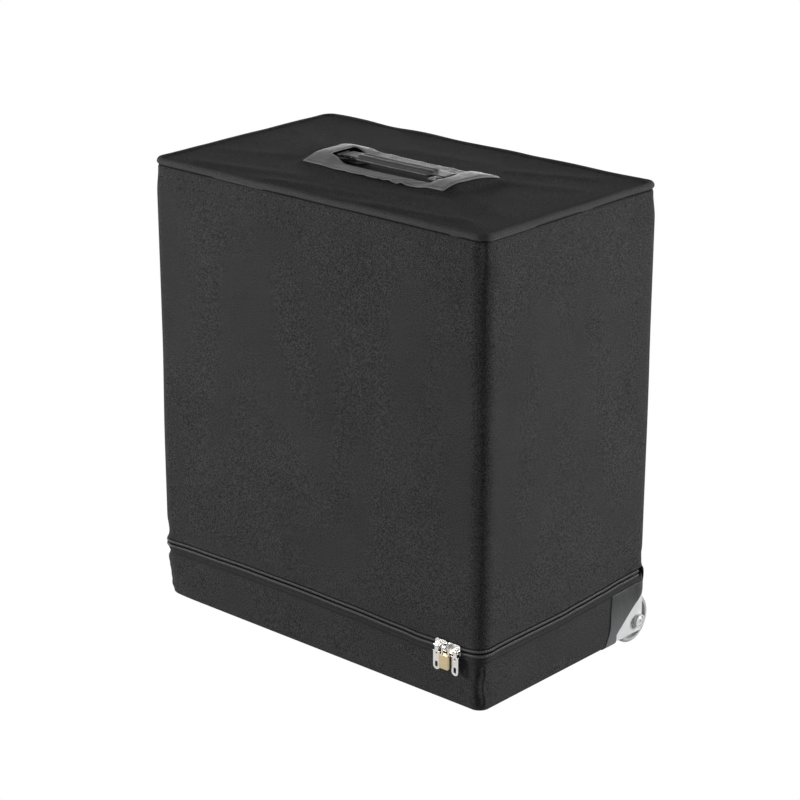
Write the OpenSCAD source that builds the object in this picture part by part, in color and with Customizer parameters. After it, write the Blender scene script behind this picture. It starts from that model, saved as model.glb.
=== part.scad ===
// Wheeled accordion case: a plywood tray and a tall hinged hood inside a zipped
// fabric cover, with a strap handle on top, wheels in the two rear bottom corners
// and a pull-up handle on the back. Sizes are in millimetres.
// Inside the modules z = 0 is the underside of the tray's cover and y = 0 its
// middle. seat() moves that to the part's origin: on the floor, below the middle
// of the whole object.

/* [Case] */
// Width over the fabric cover
case_w = 496; // [400:1:600]
// Depth over the fabric cover, front to rear
case_d = 292; // [240:1:360]
// Height of the cover above its own underside
case_h = 540; // [440:1:660]
// Height of the zip's middle line above the underside
seam_z = 69; // [64:1:90]
// Radius of the cover's upright corners
corner_r = 15; // [8:0.5:20]
// Radius of the cover's bottom edges
bottom_edge_r = 6; // [4:0.5:12]
// Radius of the cover's top edges
top_edge_r = 4; // [3:0.5:6]
// Thickness of the padded fabric cover
cover_t = 2; // [1.5:0.5:3]
// Thickness of the plywood walls
panel_t = 8; // [6:0.5:10]
// Thickness of the plywood floor
floor_t = 9; // [7:0.5:12]
// Space between the rims of the tray and the hood
rim_gap = 1; // [0.6:0.1:2]

/* [Lining] */
// Thickness of the boards that line the tray and guide the hood
liner_t = 4; // [3:0.5:6]
// Height of the liner boards above the seam
liner_rise = 12; // [8:1:20]
// Clearance between the liner boards and the hood's walls
liner_gap = 1; // [0.6:0.1:2]
// Thickness of the floor pad
pad_t = 14; // [8:1:24]
// Thickness of the hood's foam padding
padding_t = 6; // [4:0.5:10]

/* [Zip] */
// Height of one row of the zip's coil
row_h = 3.3; // [2.5:0.1:4]
// Thickness of the coil, front to back
row_t = 3; // [2.4:0.1:4]
// Space between the two rows, which the sliders' wedges run in
row_gap = 1.4; // [1.2:0.1:2]
// Width of one tape, from the coil to its sewn edge
tape_w = 9; // [8:0.5:12]
// Thickness of the tape
tape_t = 1; // [0.6:0.1:1.5]
// Distance of the zip's ends from the rear face
zip_end = 18; // [14:1:40]
// Length of a slider
slider_len = 17.5; // [16:0.5:22]
// Height of a slider
slider_h = 13; // [11:0.5:16]
// Thickness of a slider's outer plate
slider_t = 1.4; // [1.2:0.1:2]
// Distance of the place where the sliders meet from the right corner
meet_in = 44.5; // [40:0.5:120]
// Length of a pull
pull_len = 29; // [20:1:40]
// Width of a pull
pull_w = 9.5; // [6:0.5:10]
// Thickness of a pull
pull_t = 1.6; // [1.2:0.1:2]

/* [Padlock] */
// Width of the padlock's body
lock_w = 14; // [13:0.5:18]
// Height of the padlock's body
lock_h = 16; // [13:0.5:22]
// Thickness of the padlock's body
lock_t = 7.5; // [7:0.5:10]
// Diameter of the shackle's rod
shackle_d = 2.4; // [2:0.1:3]
// Distance that the body drops when the lock is opened
lock_drop = 4.5; // [3.5:0.5:5]

/* [Wheels] */
// Outer radius of a wheel
wheel_r = 29.5; // [26:0.5:33]
// Width of a wheel
wheel_w = 22; // [18:0.5:24]
// Height of the case's underside above the floor
ground_clear = 13.5; // [12:0.5:24]
// Distance of the axle inside the rear face
axle_in = 9; // [0:0.5:14]
// Radius of the axle
axle_r = 3.97; // [3:0.01:4.97]
// Outer radius of a wheel's ball bearing
bearing_r = 11; // [9:0.5:13]
// Width of a ball bearing
bearing_w = 7; // [5:0.5:8]
// Number of slots in a wheel's web
wheel_slots = 10; // [6:1:14]
// Radial clearance of the axle in the bearings
axle_gap = 0.05; // [0.02:0.01:0.1]
// Length of the leatherette patches, from the rear face forwards
patch_len = 62; // [55:1:90]

/* [Feet] */
// Distance of a foot's middle from the case's sides and front
foot_in = 65; // [45:1:90]
// Radius of a foot at its top
foot_r = 15; // [10:0.5:20]

/* [Hinge] */
// Length of the rear hinge
hinge_len = 384; // [280:8:500]
// Number of knuckles along the hinge
knuckles = 16; // [8:2:24]
// Radius of a knuckle
knuckle_r = 3.5; // [3:0.1:4.5]
// Radius of the hinge pin
hinge_pin_r = 1.5; // [1:0.1:2]
// Thickness of the hinge's leaves
leaf_t = 1.2; // [0.8:0.1:1.6]
// Width of a leaf
leaf_w = 20; // [14:1:26]

/* [Top handle] */
// Distance that the slot's leatherette frame reaches past each end of the slot
frame_end = 22; // [20:1:40]
// Width of the slot's leatherette frame
frame_w = 83; // [70:1:110]
// Width of the slot
slot_w = 40; // [36:1:56]
// Height of the frame's raised ends above the cover
frame_rise = 9; // [8:0.5:12]
// Distance of the handle's middle in front of the case's middle
handle_fwd = 3; // [0:1:20]
// Length of the grip between its end loops
grip_l = 130; // [100:1:140]
// Width of the grip
grip_w = 23; // [18:0.5:28]
// Thickness of the grip
grip_t = 8; // [6:0.5:10]
// Diameter of the rings' rod
ring_d = 3.4; // [2.5:0.1:4]
// Distance between a ring's two bars
ring_l = 15; // [12:0.5:18]
// Height of the rings' bars above the plywood
ring_z = 5.6; // [5.4:0.1:7]

/* [Pull-up handle] */
// Distance between the middles of the two poles
pole_pitch = 140; // [110:1:200]
// Width of an outer tube
tube_w = 24; // [20:0.5:28]
// Depth of an outer tube, front to rear
tube_d = 12.6; // [11:0.1:15]
// Wall of the tubes
tube_wall = 1.4; // [1:0.1:1.8]
// Sliding clearance between one tube and the next
tube_gap = 0.3; // [0.2:0.05:0.5]
// Distance that each stage slides out
stage_travel = 280; // [150:5:300]
// Distance of the grip's top below the top of the case
grip_drop = 16; // [14:1:60]
// Distance of the foot bracket's underside above the seam
bracket_rise = 28; // [26:1:60]
// Travel of the release button
button_travel = 3; // [2:0.5:4]

/* [Hidden] */
$fn = 48;

// Colours
fabric = "#2b2c2e";
leatherette = "#55575a";
plywood = "#c9a877";
lining = "#4a4b50";
housing_grey = "#c9ccce";
tyre_grey = "#a3a7aa";
steel = "#c4c6c8";
black_plastic = "#1d1e20";
brass = "#b39a68";

// Plywood body inside the cover
ply_w = case_w - 2 * cover_t;
ply_d = case_d - 2 * cover_t;
ply_front = -ply_d / 2;
ply_rear = ply_d / 2;
ply_side = ply_w / 2;
room_w = ply_w - 2 * panel_t;
room_d = ply_d - 2 * panel_t;
floor_top = cover_t + floor_t;
tray_top = seam_z - rim_gap / 2;
hood_bottom = seam_z + rim_gap / 2;
top_panel_z = case_h - cover_t - panel_t;
fabric_gap = 0.1;
eps = 0.01;
far = 2000;

// Wheels and the corner notches that take their housings
wheel_y = case_d / 2 - axle_in;
wheel_z = wheel_r - ground_clear;
housing_t = 3.5;
side_play = 3.5;
inner_flank_t = 8;
hub_play = 0.3;
well_r = wheel_r + 3.5;
well_wall = 2.5;
wheel_x = ply_side - housing_t - side_play - wheel_w / 2;
housing_x0 = wheel_x - wheel_w / 2 - side_play - inner_flank_t;
notch_play = 0.3;
notch_x = housing_x0 - notch_play;
notch_y = wheel_y - well_r - well_wall - 6;
housing_top = wheel_z + well_r + well_wall + 3;
notch_z = housing_top + notch_play;
boss_r = 8;
flank_low = 3;
flank_r = max(boss_r + 0.5, axle_in - 0.5);
flank_run = 24;
boss_out = 5;
head_r = 5.8;
head_h = 3.2;
hub_r = bearing_r + 3;
core_r = wheel_r - 3.5;
// The wheel cut-out in the cover: where its upright edge stands, and where the edge starts to slant
slant_y = notch_y;
slant_z = 12.5;
slant_rise = 0.81;

// Zip: depths are counted outwards from the plywood
row_in = cover_t - 0.4;
row_out = row_in + row_t;
row_near = row_gap / 2;
cover_cut = row_near + row_h + 2.3;
slider_play = 0.25;
plate_out = row_out + slider_play;
plate_face = plate_out + slider_t;
bar_r = 1;
barrel_r = 2;
bar_depth = plate_face + barrel_r + 0.8;
meet_x = case_w / 2 - meet_in;
slider_gap = 0.5;
barrel_w = 5;
bar_end = 0.8;
bridge_len = 9;

patch_top = seam_z - row_near - row_h - tape_w - 0.3;

// Padlock, hung in the two sliders' eyes
eye_z = seam_z + 1.5;
eye_depth = plate_face + 4;
eye_t = 1.4;
shackle_r = shackle_d / 2;
leg_x = lock_w / 2 - shackle_r - 1.3;
bend_r = 2.4;
shackle_h = 9;
plug_r = lock_t / 2 - 1.1;
lock_play = 0.05;
plug_play = 0.08;

// Hinge at the rear, its axis just outside the plywood
hinge_y = ply_rear + knuckle_r;
knuckle_l = hinge_len / knuckles;
knuckle_gap = 0.3;
leaf_clear = 0.5;
hinge_cut = leaf_w + 1;

// Handle on the top panel
panel_top = case_h - cover_t;
bar_x = grip_l / 2 + 5 + ring_l;
slot_l = 2 * bar_x;
frame_l = slot_l + 2 * frame_end;
handle_y = -handle_fwd;
ring_bar_z = panel_top + ring_z;
ring_r = ring_d / 2;
ring_w = grip_w + 6;
chape_t = 1.5;
chape_w = grip_w - 3;
chape_l = 17;
frame_t = 1.5;
loop_slot = 5;
loop_play = 0.5;
backing_t = 2;

// Poles on the hood's rear
bracket_h = 26;
bracket_z = seam_z + bracket_rise;
collar_h = 22;
pole_grip_h = 24;
pole_grip_top = case_h - grip_drop;
pole_grip_z = pole_grip_top - pole_grip_h;
collar_z = pole_grip_z - collar_h - 0.3;
pole_rear = case_d / 2;
standoff = 2;
pole_y = pole_rear + standoff + tube_d / 2;
bracket_d = standoff + tube_d + 2.4;
mid_w = tube_w - 2 * tube_wall - 2 * tube_gap;
mid_d = tube_d - 2 * tube_wall - 2 * tube_gap;
inner_w = mid_w - 2 * tube_wall - 2 * tube_gap;
inner_d = mid_d - 2 * tube_wall - 2 * tube_gap;
tube_z0 = bracket_z + 3;
tube_top = collar_z + collar_h - 3;
stage_overlap = 110;
mid_low = max(tube_z0 + 4, tube_top + 1.5 - stage_travel - stage_overlap);
screw_heights = [bracket_z + bracket_h / 2, collar_z + collar_h / 2 - 2];
screw_seat = 5;
screw_x = 40;

// Reach of the padlock in front and of the wheels behind, which place the origin
front_reach = -ply_front + eye_depth + lock_t / 2;
rear_reach = wheel_y + wheel_r;
frame_y = (front_reach - rear_reach) / 2;

// Places geometry drawn round the tray's own middle into the part's frame
module seat() translate([0, frame_y, ground_clear]) children();

// Extrudes an outline of depth and height along the width
module along_x(x0, x1) translate([x0, 0, 0]) rotate([90, 0, 90]) linear_extrude(x1 - x0) children();

// Extrudes an outline of width and height along the depth
module along_y(y0, y1) translate([0, y1, 0]) rotate([90, 0, 0]) linear_extrude(y1 - y0) children();

module box(low, high) translate(low) cube(high - low);

module rounded_rect(w, d, r) {
    square([w - 2 * r, d], center = true);
    square([w, d - 2 * r], center = true);
    for (sx = [-1, 1], sy = [-1, 1]) translate([sx * (w / 2 - r), sy * (d / 2 - r)]) circle(r);
}

// Outline of the case seen from a side, with its own bottom and top edge radii
module side_outline(w, t) {
    low_r = max(bottom_edge_r - t, 1);
    high_r = max(top_edge_r - t, 1);
    translate([-w / 2 + low_r, t]) square([w - 2 * low_r, low_r + eps]);
    translate([-w / 2, t + low_r]) square([w, case_h - 2 * t - low_r - high_r]);
    translate([-w / 2 + high_r, case_h - t - high_r - eps]) square([w - 2 * high_r, high_r + eps]);
    for (side = [-1, 1]) {
        translate([side * (w / 2 - low_r), t + low_r]) circle(low_r);
        translate([side * (w / 2 - high_r), case_h - t - high_r]) circle(high_r);
    }
}

// The whole case as one rounded block, with every face moved in by t
module envelope(t) intersection() {
    translate([0, 0, t]) linear_extrude(case_h - 2 * t)
        rounded_rect(case_w - 2 * t, case_d - 2 * t, max(corner_r - t, 1));
    along_x(-case_w, case_w) side_outline(case_d - 2 * t, t);
    along_y(-case_d, case_d) side_outline(case_w - 2 * t, t);
}

// Outline of the slanting wheel cut-out, as depth and height
module slant_outline(drop = 0) {
    reach = 80;
    polygon([[slant_y, -reach], [slant_y + reach, -reach],
        [slant_y + reach, slant_z + reach * slant_rise - drop], [slant_y, slant_z - drop]]);
}

// What the wheel, its housing and its slanting cut-out take away from the cover on the right
module wheel_cutout() {
    along_x(notch_x, far) slant_outline();
    box([notch_x, slant_y, -far], [far, far, cover_t + notch_play]);
    box([notch_x, ply_rear - 1, -far], [far, far, notch_z]);
}

// The corner room of one wheel housing
module wheel_notch(side) {
    x_in = notch_x;
    mirror([side < 0 ? 1 : 0, 0, 0]) box([x_in, notch_y, -far], [far, far, notch_z]);
}

// A band that follows the plywood's outline round the front and the sides
module zip_band(z0, z1, depth_in, depth_out) translate([0, 0, z0]) linear_extrude(z1 - z0)
    intersection() {
        difference() {
            rounded_rect(ply_w + 2 * depth_out, ply_d + 2 * depth_out, corner_r - cover_t + depth_out);
            rounded_rect(ply_w + 2 * depth_in, ply_d + 2 * depth_in, corner_r - cover_t + depth_in);
        }
        translate([-far, -far]) square([2 * far, far + case_d / 2 - zip_end]);
    }

module base_floor() color(plywood) seat() difference() {
    box([-room_w / 2, -room_d / 2, cover_t], [room_w / 2, room_d / 2, floor_top]);
    for (side = [-1, 1]) {
        wheel_notch(side);
        translate([side * (case_w / 2 - foot_in), -case_d / 2 + foot_in, 0]) cylinder(r = 2.02, h = 40);
    }
}

module base_front_rail() color(plywood) seat() intersection() {
    envelope(cover_t);
    box([-far, ply_front, 0], [far, ply_front + panel_t, tray_top]);
}

module base_rear_rail() color(plywood) seat() difference() {
    intersection() {
        envelope(cover_t);
        box([-far, ply_rear - panel_t, 0], [far, ply_rear, tray_top]);
    }
    for (side = [-1, 1]) wheel_notch(side);
}

module base_side_rail(side) color(plywood) seat() difference() {
    intersection() {
        envelope(cover_t);
        mirror([side < 0 ? 1 : 0, 0, 0])
            box([room_w / 2, -room_d / 2, 0], [far, room_d / 2, tray_top]);
    }
    wheel_notch(side);
}

// Section of a liner board: full thickness below the rim, set in and bevelled above it
module liner_section() polygon([[0, floor_top], [0, tray_top - 1], [liner_gap, tray_top],
    [liner_gap, seam_z + liner_rise - 2], [liner_gap + 1, seam_z + liner_rise],
    [liner_t, seam_z + liner_rise], [liner_t, floor_top]]);

module base_liner() color(lining) seat() difference() {
    union() {
        translate([0, -room_d / 2, 0]) along_x(-room_w / 2 + liner_t, room_w / 2 - liner_t) liner_section();
        mirror([0, 1, 0]) translate([0, -room_d / 2, 0])
            along_x(-room_w / 2 + liner_t, room_w / 2 - liner_t) liner_section();
        for (side = [-1, 1]) mirror([side > 0 ? 1 : 0, 0, 0]) translate([-room_w / 2, 0, 0])
            along_y(-room_d / 2 + liner_gap, room_d / 2 - liner_gap) liner_section();
    }
    for (side = [-1, 1]) wheel_notch(side);
}

module base_pad() color(lining) seat() difference() {
    pad_w = room_w - 2 * liner_t - 1;
    pad_d = room_d - 2 * liner_t - 1;
    translate([0, 0, floor_top]) linear_extrude(pad_t) rounded_rect(pad_w, pad_d, 4);
    for (side = [-1, 1]) translate([-side, -1, 0]) wheel_notch(side);
}

module base_cover() color(fabric) seat() difference() {
    envelope(0);
    envelope(cover_t);
    box([-far, -far, seam_z - cover_cut], [far, far, far]);
    box([-far, ply_rear - 1, seam_z - hinge_cut], [far, far, far]);
    for (side = [-1, 1]) mirror([side < 0 ? 1 : 0, 0, 0]) {
        wheel_cutout();
        translate([case_w / 2 - foot_in, -case_d / 2 + foot_in, -5]) cylinder(r = 2.02, h = 20);
    }
}

module zip_lower() color(fabric) seat() {
    zip_band(seam_z - row_near - row_h, seam_z - row_near, row_in, row_out);
    zip_band(seam_z - row_near - row_h - tape_w, seam_z - row_near - row_h + 0.4,
        cover_t, cover_t + tape_t);
}

module zip_upper() color(fabric) seat() {
    zip_band(seam_z + row_near, seam_z + row_near + row_h, row_in, row_out);
    zip_band(seam_z + row_near + row_h - 0.4, seam_z + row_near + row_h + tape_w / 2,
        cover_t, cover_t + tape_t);
}

module wheel_patch(side) color(leatherette) seat() mirror([side < 0 ? 1 : 0, 0, 0]) difference() {
    patch_t = 1;
    intersection() {
        envelope(-patch_t);
        box([case_w / 2 - patch_len, case_d / 2 - patch_len, -far],
            [far, far, patch_top]);
    }
    envelope(0);
    box([-far, ply_rear, seam_z - hinge_cut], [far, far, far]);
    wheel_cutout();
}

// One corner housing: a cup over the wheel, two flanks and the bosses of the axle
module wheel_housing(side) color(housing_grey) seat() mirror([side < 0 ? 1 : 0, 0, 0]) difference() {
    intersection() {
        union() {
            intersection() {
                along_x(housing_x0, ply_side) translate([wheel_y, wheel_z]) circle(well_r + well_wall);
                box([0, notch_y + notch_play, 2], [far, ply_rear, housing_top]);
            }
            for (flank = [[housing_x0, housing_x0 + inner_flank_t], [ply_side - housing_t, ply_side]])
                along_x(flank[0], flank[1]) housing_flank();
            along_x(ply_side - housing_t, ply_side + boss_out)
                translate([wheel_y, wheel_z]) circle(boss_r);
        }
        union() {
            envelope(cover_t + fabric_gap);
            along_x(0, far) slant_outline(0.6);
        }
    }
    difference() {
        along_x(housing_x0 + inner_flank_t, ply_side - housing_t)
            translate([wheel_y, wheel_z]) circle(well_r);
        for (x = [[housing_x0, wheel_x - wheel_w / 2 - hub_play],
                [wheel_x + wheel_w / 2 + hub_play, ply_side]])
            along_x(x[0], x[1]) translate([wheel_y, wheel_z]) circle(6.5);
    }
    along_x(-far, far) translate([wheel_y, wheel_z]) circle(axle_r + 0.03);
    along_x(ply_side + boss_out - head_h, far) translate([wheel_y, wheel_z]) circle(head_r + 0.2);
    along_x(-far, housing_x0 + 5.5) translate([wheel_y, wheel_z]) circle(7.2, $fn = 6);
}

// Outline of a housing's flank, rounded about the axle; behind the plywood it ends below the slant
module housing_flank() {
    front = notch_y + notch_play;
    rear = wheel_y + flank_r;
    difference() {
        union() {
            polygon([[front, flank_low], [wheel_y - flank_run, flank_low], [wheel_y, wheel_z - flank_r],
                [rear, wheel_z], [rear, housing_top], [front, housing_top]]);
            translate([wheel_y, wheel_z]) circle(flank_r);
        }
        difference() {
            translate([ply_rear - 0.3, -far]) square([far, 2 * far]);
            slant_outline(0.6);
        }
    }
}

module axle_bolt(side) color(steel) seat() mirror([side < 0 ? 1 : 0, 0, 0]) difference() {
    union() {
        along_x(housing_x0 + 0.6, ply_side + boss_out) translate([wheel_y, wheel_z]) circle(axle_r);
        translate([ply_side + boss_out - head_h + 0.02, wheel_y, wheel_z]) rotate([0, 90, 0])
            rotate_extrude() polygon([[0, 0], [head_r, 0], [head_r, head_h - 0.8], [head_r - 1, head_h],
                [0, head_h]]);
    }
    along_x(ply_side + boss_out - 2, far) translate([wheel_y, wheel_z]) circle(2.3, $fn = 6);
}

module axle_nuts() color(steel) seat() for (side = [-1, 1]) mirror([side < 0 ? 1 : 0, 0, 0])
    difference() {
        along_x(housing_x0 + 0.5, housing_x0 + 5.4) translate([wheel_y, wheel_z]) circle(7, $fn = 6);
        along_x(housing_x0, housing_x0 + 6) translate([wheel_y, wheel_z]) circle(axle_r + 0.02);
    }

module wheel_core(side) color(housing_grey) seat() mirror([side < 0 ? 1 : 0, 0, 0])
    translate([wheel_x - wheel_w / 2, wheel_y, wheel_z]) rotate([0, 90, 0]) difference() {
        web_t = 8;
        rim_t = 1.5;
        slot_r = 2.5;
        rotate_extrude() difference() {
            translate([axle_r + 1.5, 0]) square([core_r - axle_r - 1.5, wheel_w]);
            for (z = [[-1, bearing_w + 0.02], [wheel_w - bearing_w - 0.02, wheel_w + 1]])
                translate([0, z[0]]) square([bearing_r + 0.02, z[1] - z[0]]);
            for (z = [[-1, (wheel_w - web_t) / 2], [(wheel_w + web_t) / 2, wheel_w + 1]])
                translate([hub_r, z[0]]) square([core_r - rim_t - hub_r, z[1] - z[0]]);
        }
        slot_in = hub_r + slot_r + 0.5;
        slot_out = core_r - rim_t - slot_r - 0.5;
        for (i = [0 : wheel_slots - 1]) rotate(i * 360 / wheel_slots) linear_extrude(wheel_w) {
            translate([slot_in, -slot_r]) square([slot_out - slot_in, 2 * slot_r]);
            for (x = [slot_in, slot_out]) translate([x, 0]) circle(slot_r);
        }
    }

module wheel_tyre(side) color(tyre_grey) seat() mirror([side < 0 ? 1 : 0, 0, 0])
    translate([wheel_x - wheel_w / 2, wheel_y, wheel_z]) rotate([0, 90, 0]) rotate_extrude() {
        tyre_in = core_r + 0.02;
        shoulder = min(3, wheel_r - tyre_in - 0.5);
        translate([tyre_in, 0]) square([wheel_r - shoulder - tyre_in, wheel_w]);
        translate([tyre_in, shoulder]) square([wheel_r - tyre_in, wheel_w - 2 * shoulder]);
        intersection() {
            for (z = [shoulder, wheel_w - shoulder]) translate([wheel_r - shoulder, z]) circle(shoulder);
            translate([wheel_r - shoulder - eps, 0]) square([shoulder + 1, wheel_w]);
        }
    }

module wheel_bearings(side) color(steel) seat() mirror([side < 0 ? 1 : 0, 0, 0])
    for (x = [wheel_x - wheel_w / 2, wheel_x + wheel_w / 2 - bearing_w]) translate([x, wheel_y, wheel_z])
        rotate([0, 90, 0]) rotate_extrude() difference() {
            translate([axle_r + axle_gap, 0.02]) square([bearing_r - axle_r - axle_gap, bearing_w - 0.04]);
            for (z = [-1, bearing_w - 0.5]) translate([axle_r + 2, z])
                square([bearing_r - axle_r - 4, 1.5]);
        }

module front_feet() color(black_plastic) seat() for (side = [-1, 1])
    translate([side * (case_w / 2 - foot_in), -case_d / 2 + foot_in, -ground_clear]) rotate_extrude()
        difference() {
            polygon([[0, 0], [foot_r - 3.5, 0], [foot_r - 2, 1.5], [foot_r, ground_clear],
                [0, ground_clear]]);
            square([5, 8]);
            square([2.1, ground_clear]);
        }

module foot_screws() color(steel) seat() for (side = [-1, 1])
    translate([side * (case_w / 2 - foot_in), -case_d / 2 + foot_in, -ground_clear]) {
        translate([0, 0, 5]) cylinder(r = 4.2, h = 2.98);
        translate([0, 0, 5]) cylinder(r = 2, h = ground_clear + floor_top - 6);
    }

// One leaf of the rear hinge, drawn for the hood; turn is 0 for the even knuckles and 1 for the odd
module hinge_leaf(turn) {
    reach = knuckle_r + leaf_clear;
    difference() {
        union() {
            box([-hinge_len / 2, ply_rear, seam_z + reach],
                [hinge_len / 2, ply_rear + leaf_t, seam_z + leaf_w]);
            for (i = [turn : 2 : knuckles - 1]) {
                x0 = -hinge_len / 2 + i * knuckle_l + knuckle_gap / 2;
                x1 = x0 + knuckle_l - knuckle_gap;
                box([x0, ply_rear, seam_z], [x1, ply_rear + leaf_t, seam_z + reach + 1]);
                along_x(x0, x1) translate([hinge_y, seam_z]) circle(knuckle_r);
            }
        }
        along_x(-far, far) translate([hinge_y, seam_z]) circle(hinge_pin_r + (turn == 0 ? 0.06 : 0.02));
    }
}

module hinge_hood_leaf() color(steel) seat() hinge_leaf(0);

module hinge_base_leaf() color(steel) seat()
    translate([0, 0, 2 * seam_z]) mirror([0, 0, 1]) hinge_leaf(1);

module hinge_pin() color(steel) seat()
    along_x(-hinge_len / 2, hinge_len / 2) translate([hinge_y, seam_z]) circle(hinge_pin_r);

module hood_wall(low, high) intersection() {
    envelope(cover_t);
    box([low[0], low[1], hood_bottom], [high[0], high[1], far]);
}

module hood_front_panel() color(plywood) seat() hood_wall([-far, ply_front], [far, ply_front + panel_t]);

module hood_rear_panel() color(plywood) seat() difference() {
    hood_wall([-far, ply_rear - panel_t], [far, ply_rear]);
    for (z = screw_heights) pole_screw_holes(z);
}

module hood_left_panel() color(plywood) seat() hood_wall([-far, -room_d / 2], [-room_w / 2, room_d / 2]);

module hood_right_panel() color(plywood) seat() hood_wall([room_w / 2, -room_d / 2], [far, room_d / 2]);

// Places of the bolts that hold the handle's two brackets
function bolt_places() = [for (side = [-1, 1], y = [-5.5, 5.5]) [side * (bar_x + 9), handle_y + y]];

module hood_top_panel() color(plywood) seat() difference() {
    box([-room_w / 2, -room_d / 2, top_panel_z], [room_w / 2, room_d / 2, panel_top]);
    for (place = bolt_places()) translate([place[0], place[1], 0]) cylinder(r = 2.02, h = far);
}

module hood_padding() color(lining) seat() difference() {
    shell = cover_t + panel_t;
    intersection() {
        envelope(shell);
        box([-far, -far, seam_z + liner_rise + 3], [far, far, far]);
    }
    intersection() {
        envelope(shell + padding_t);
        box([-far, -far, -far], [far, far, top_panel_z - padding_t]);
    }
    box([-bar_x - 18, handle_y - 22, top_panel_z - backing_t - 0.3], [bar_x + 18, handle_y + 22, far]);
    for (place = bolt_places()) translate([place[0], place[1], top_panel_z - padding_t - 1])
        cylinder(r = 5, h = 20);
}

module hood_cover() color(fabric) seat() difference() {
    envelope(0);
    envelope(cover_t);
    box([-far, -far, -far], [far, far, seam_z + cover_cut]);
    box([-far, ply_rear - 1, -far], [far, far, seam_z + hinge_cut]);
    translate([0, handle_y, panel_top - 1]) linear_extrude(far)
        rounded_rect(2 * (bar_x + chape_l + 1), frame_w - 16, 3);
    for (z = screw_heights) pole_screw_holes(z);
}

// The leatherette frame round the slot, raised by the brackets under its ends
module slot_frame() color(leatherette) seat() difference() {
    frame_tent(frame_l, frame_w, 0);
    frame_tent(frame_l - 3, frame_w - 3, -frame_t);
    translate([0, handle_y, case_h - 20]) linear_extrude(60) rounded_rect(slot_l, slot_w, 3);
}

module frame_tent(l, w, lift) hull() {
    translate([0, handle_y, case_h + lift]) linear_extrude(frame_t) rounded_rect(l, w, 3);
    for (side = [-1, 1]) translate([side * (l / 2 - frame_end + 3), handle_y, case_h + frame_rise + lift])
        linear_extrude(frame_t) rounded_rect(12, slot_w, 3);
}

// The bracket at one end of the handle: a plate rolled over the ring's outer bar
module handle_chape(side) color(steel) seat() mirror([side < 0 ? 1 : 0, 0, 0])
    translate([bar_x, handle_y, panel_top]) difference() {
        roll_r = ring_r + 0.1 + chape_t;
        union() {
            box([0, -chape_w / 2, 0], [chape_l, chape_w / 2, chape_t]);
            along_y(-chape_w / 2, chape_w / 2) translate([0, ring_z]) circle(roll_r);
            along_y(-chape_w / 2, chape_w / 2)
                polygon([[0, 0], [ring_r + 3.2, 0], [roll_r, ring_z], [0, ring_z]]);
        }
        along_y(-far, far) translate([0, ring_z]) circle(ring_r + 0.1);
        for (y = [-5.5, 5.5]) translate([9, y, -1]) cylinder(r = 2.02, h = 10);
    }

module handle_bolts() color(steel) seat() for (place = bolt_places())
    translate([place[0], place[1], top_panel_z - backing_t - 2.6]) {
        cylinder(r = 2, h = panel_t + backing_t + 2.6 + chape_t);
        translate([0, 0, panel_t + backing_t + 2.6 + chape_t]) cylinder(r1 = 3.6, r2 = 2.6, h = 1.6);
        cylinder(r = 4, h = 2.58, $fn = 6);
    }

module handle_backing_plate() color(steel) seat() difference() {
    translate([0, handle_y, top_panel_z - backing_t]) linear_extrude(backing_t)
        rounded_rect(2 * bar_x + 34, 40, 5);
    for (place = bolt_places()) translate([place[0], place[1], 0]) cylinder(r = 2.02, h = far);
}

// A rectangular ring of round rod, lying flat, with its outer bar at x = 0
module handle_ring(side) color(steel) seat() mirror([side < 0 ? 1 : 0, 0, 0])
    translate([bar_x, handle_y, ring_bar_z]) {
        bend = 3;
        span = ring_w - 2 * bend;
        for (x = [0, -ring_l]) translate([x, 0, 0]) rotate([90, 0, 0])
            cylinder(r = ring_r, h = span, center = true);
        for (y = [-1, 1]) translate([-ring_l / 2, y * ring_w / 2, 0]) rotate([0, 90, 0])
            cylinder(r = ring_r, h = ring_l - 2 * bend, center = true);
        for (corner = [[-bend, 1, 0], [-ring_l + bend, 1, 90], [-ring_l + bend, -1, 180], [-bend, -1, 270]])
            translate([corner[0], corner[1] * (ring_w / 2 - bend), 0]) rotate(corner[2])
                rotate_extrude(angle = 90) translate([bend, 0]) circle(ring_r);
    }

// Section of the grip across its length: a crowned strap with two ribs and a stitched hollow
module grip_section() {
    crown = grip_t * 0.55;
    difference() {
        union() {
            translate([-grip_w / 2 + 2, 0]) square([grip_w - 4, 2]);
            translate([-grip_w / 2, 2]) square([grip_w, crown - 2]);
            for (y = [-grip_w / 2 + 2, grip_w / 2 - 2]) translate([y, 2]) circle(2);
            intersection() {
                translate([0, grip_t - 30]) circle(30, $fn = 96);
                translate([-grip_w / 2, crown - 0.5]) square([grip_w, grip_t]);
            }
        }
        for (y = [-grip_w / 2 + 4, grip_w / 2 - 4]) translate([y, grip_t]) circle(1.3);
    }
}

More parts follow.
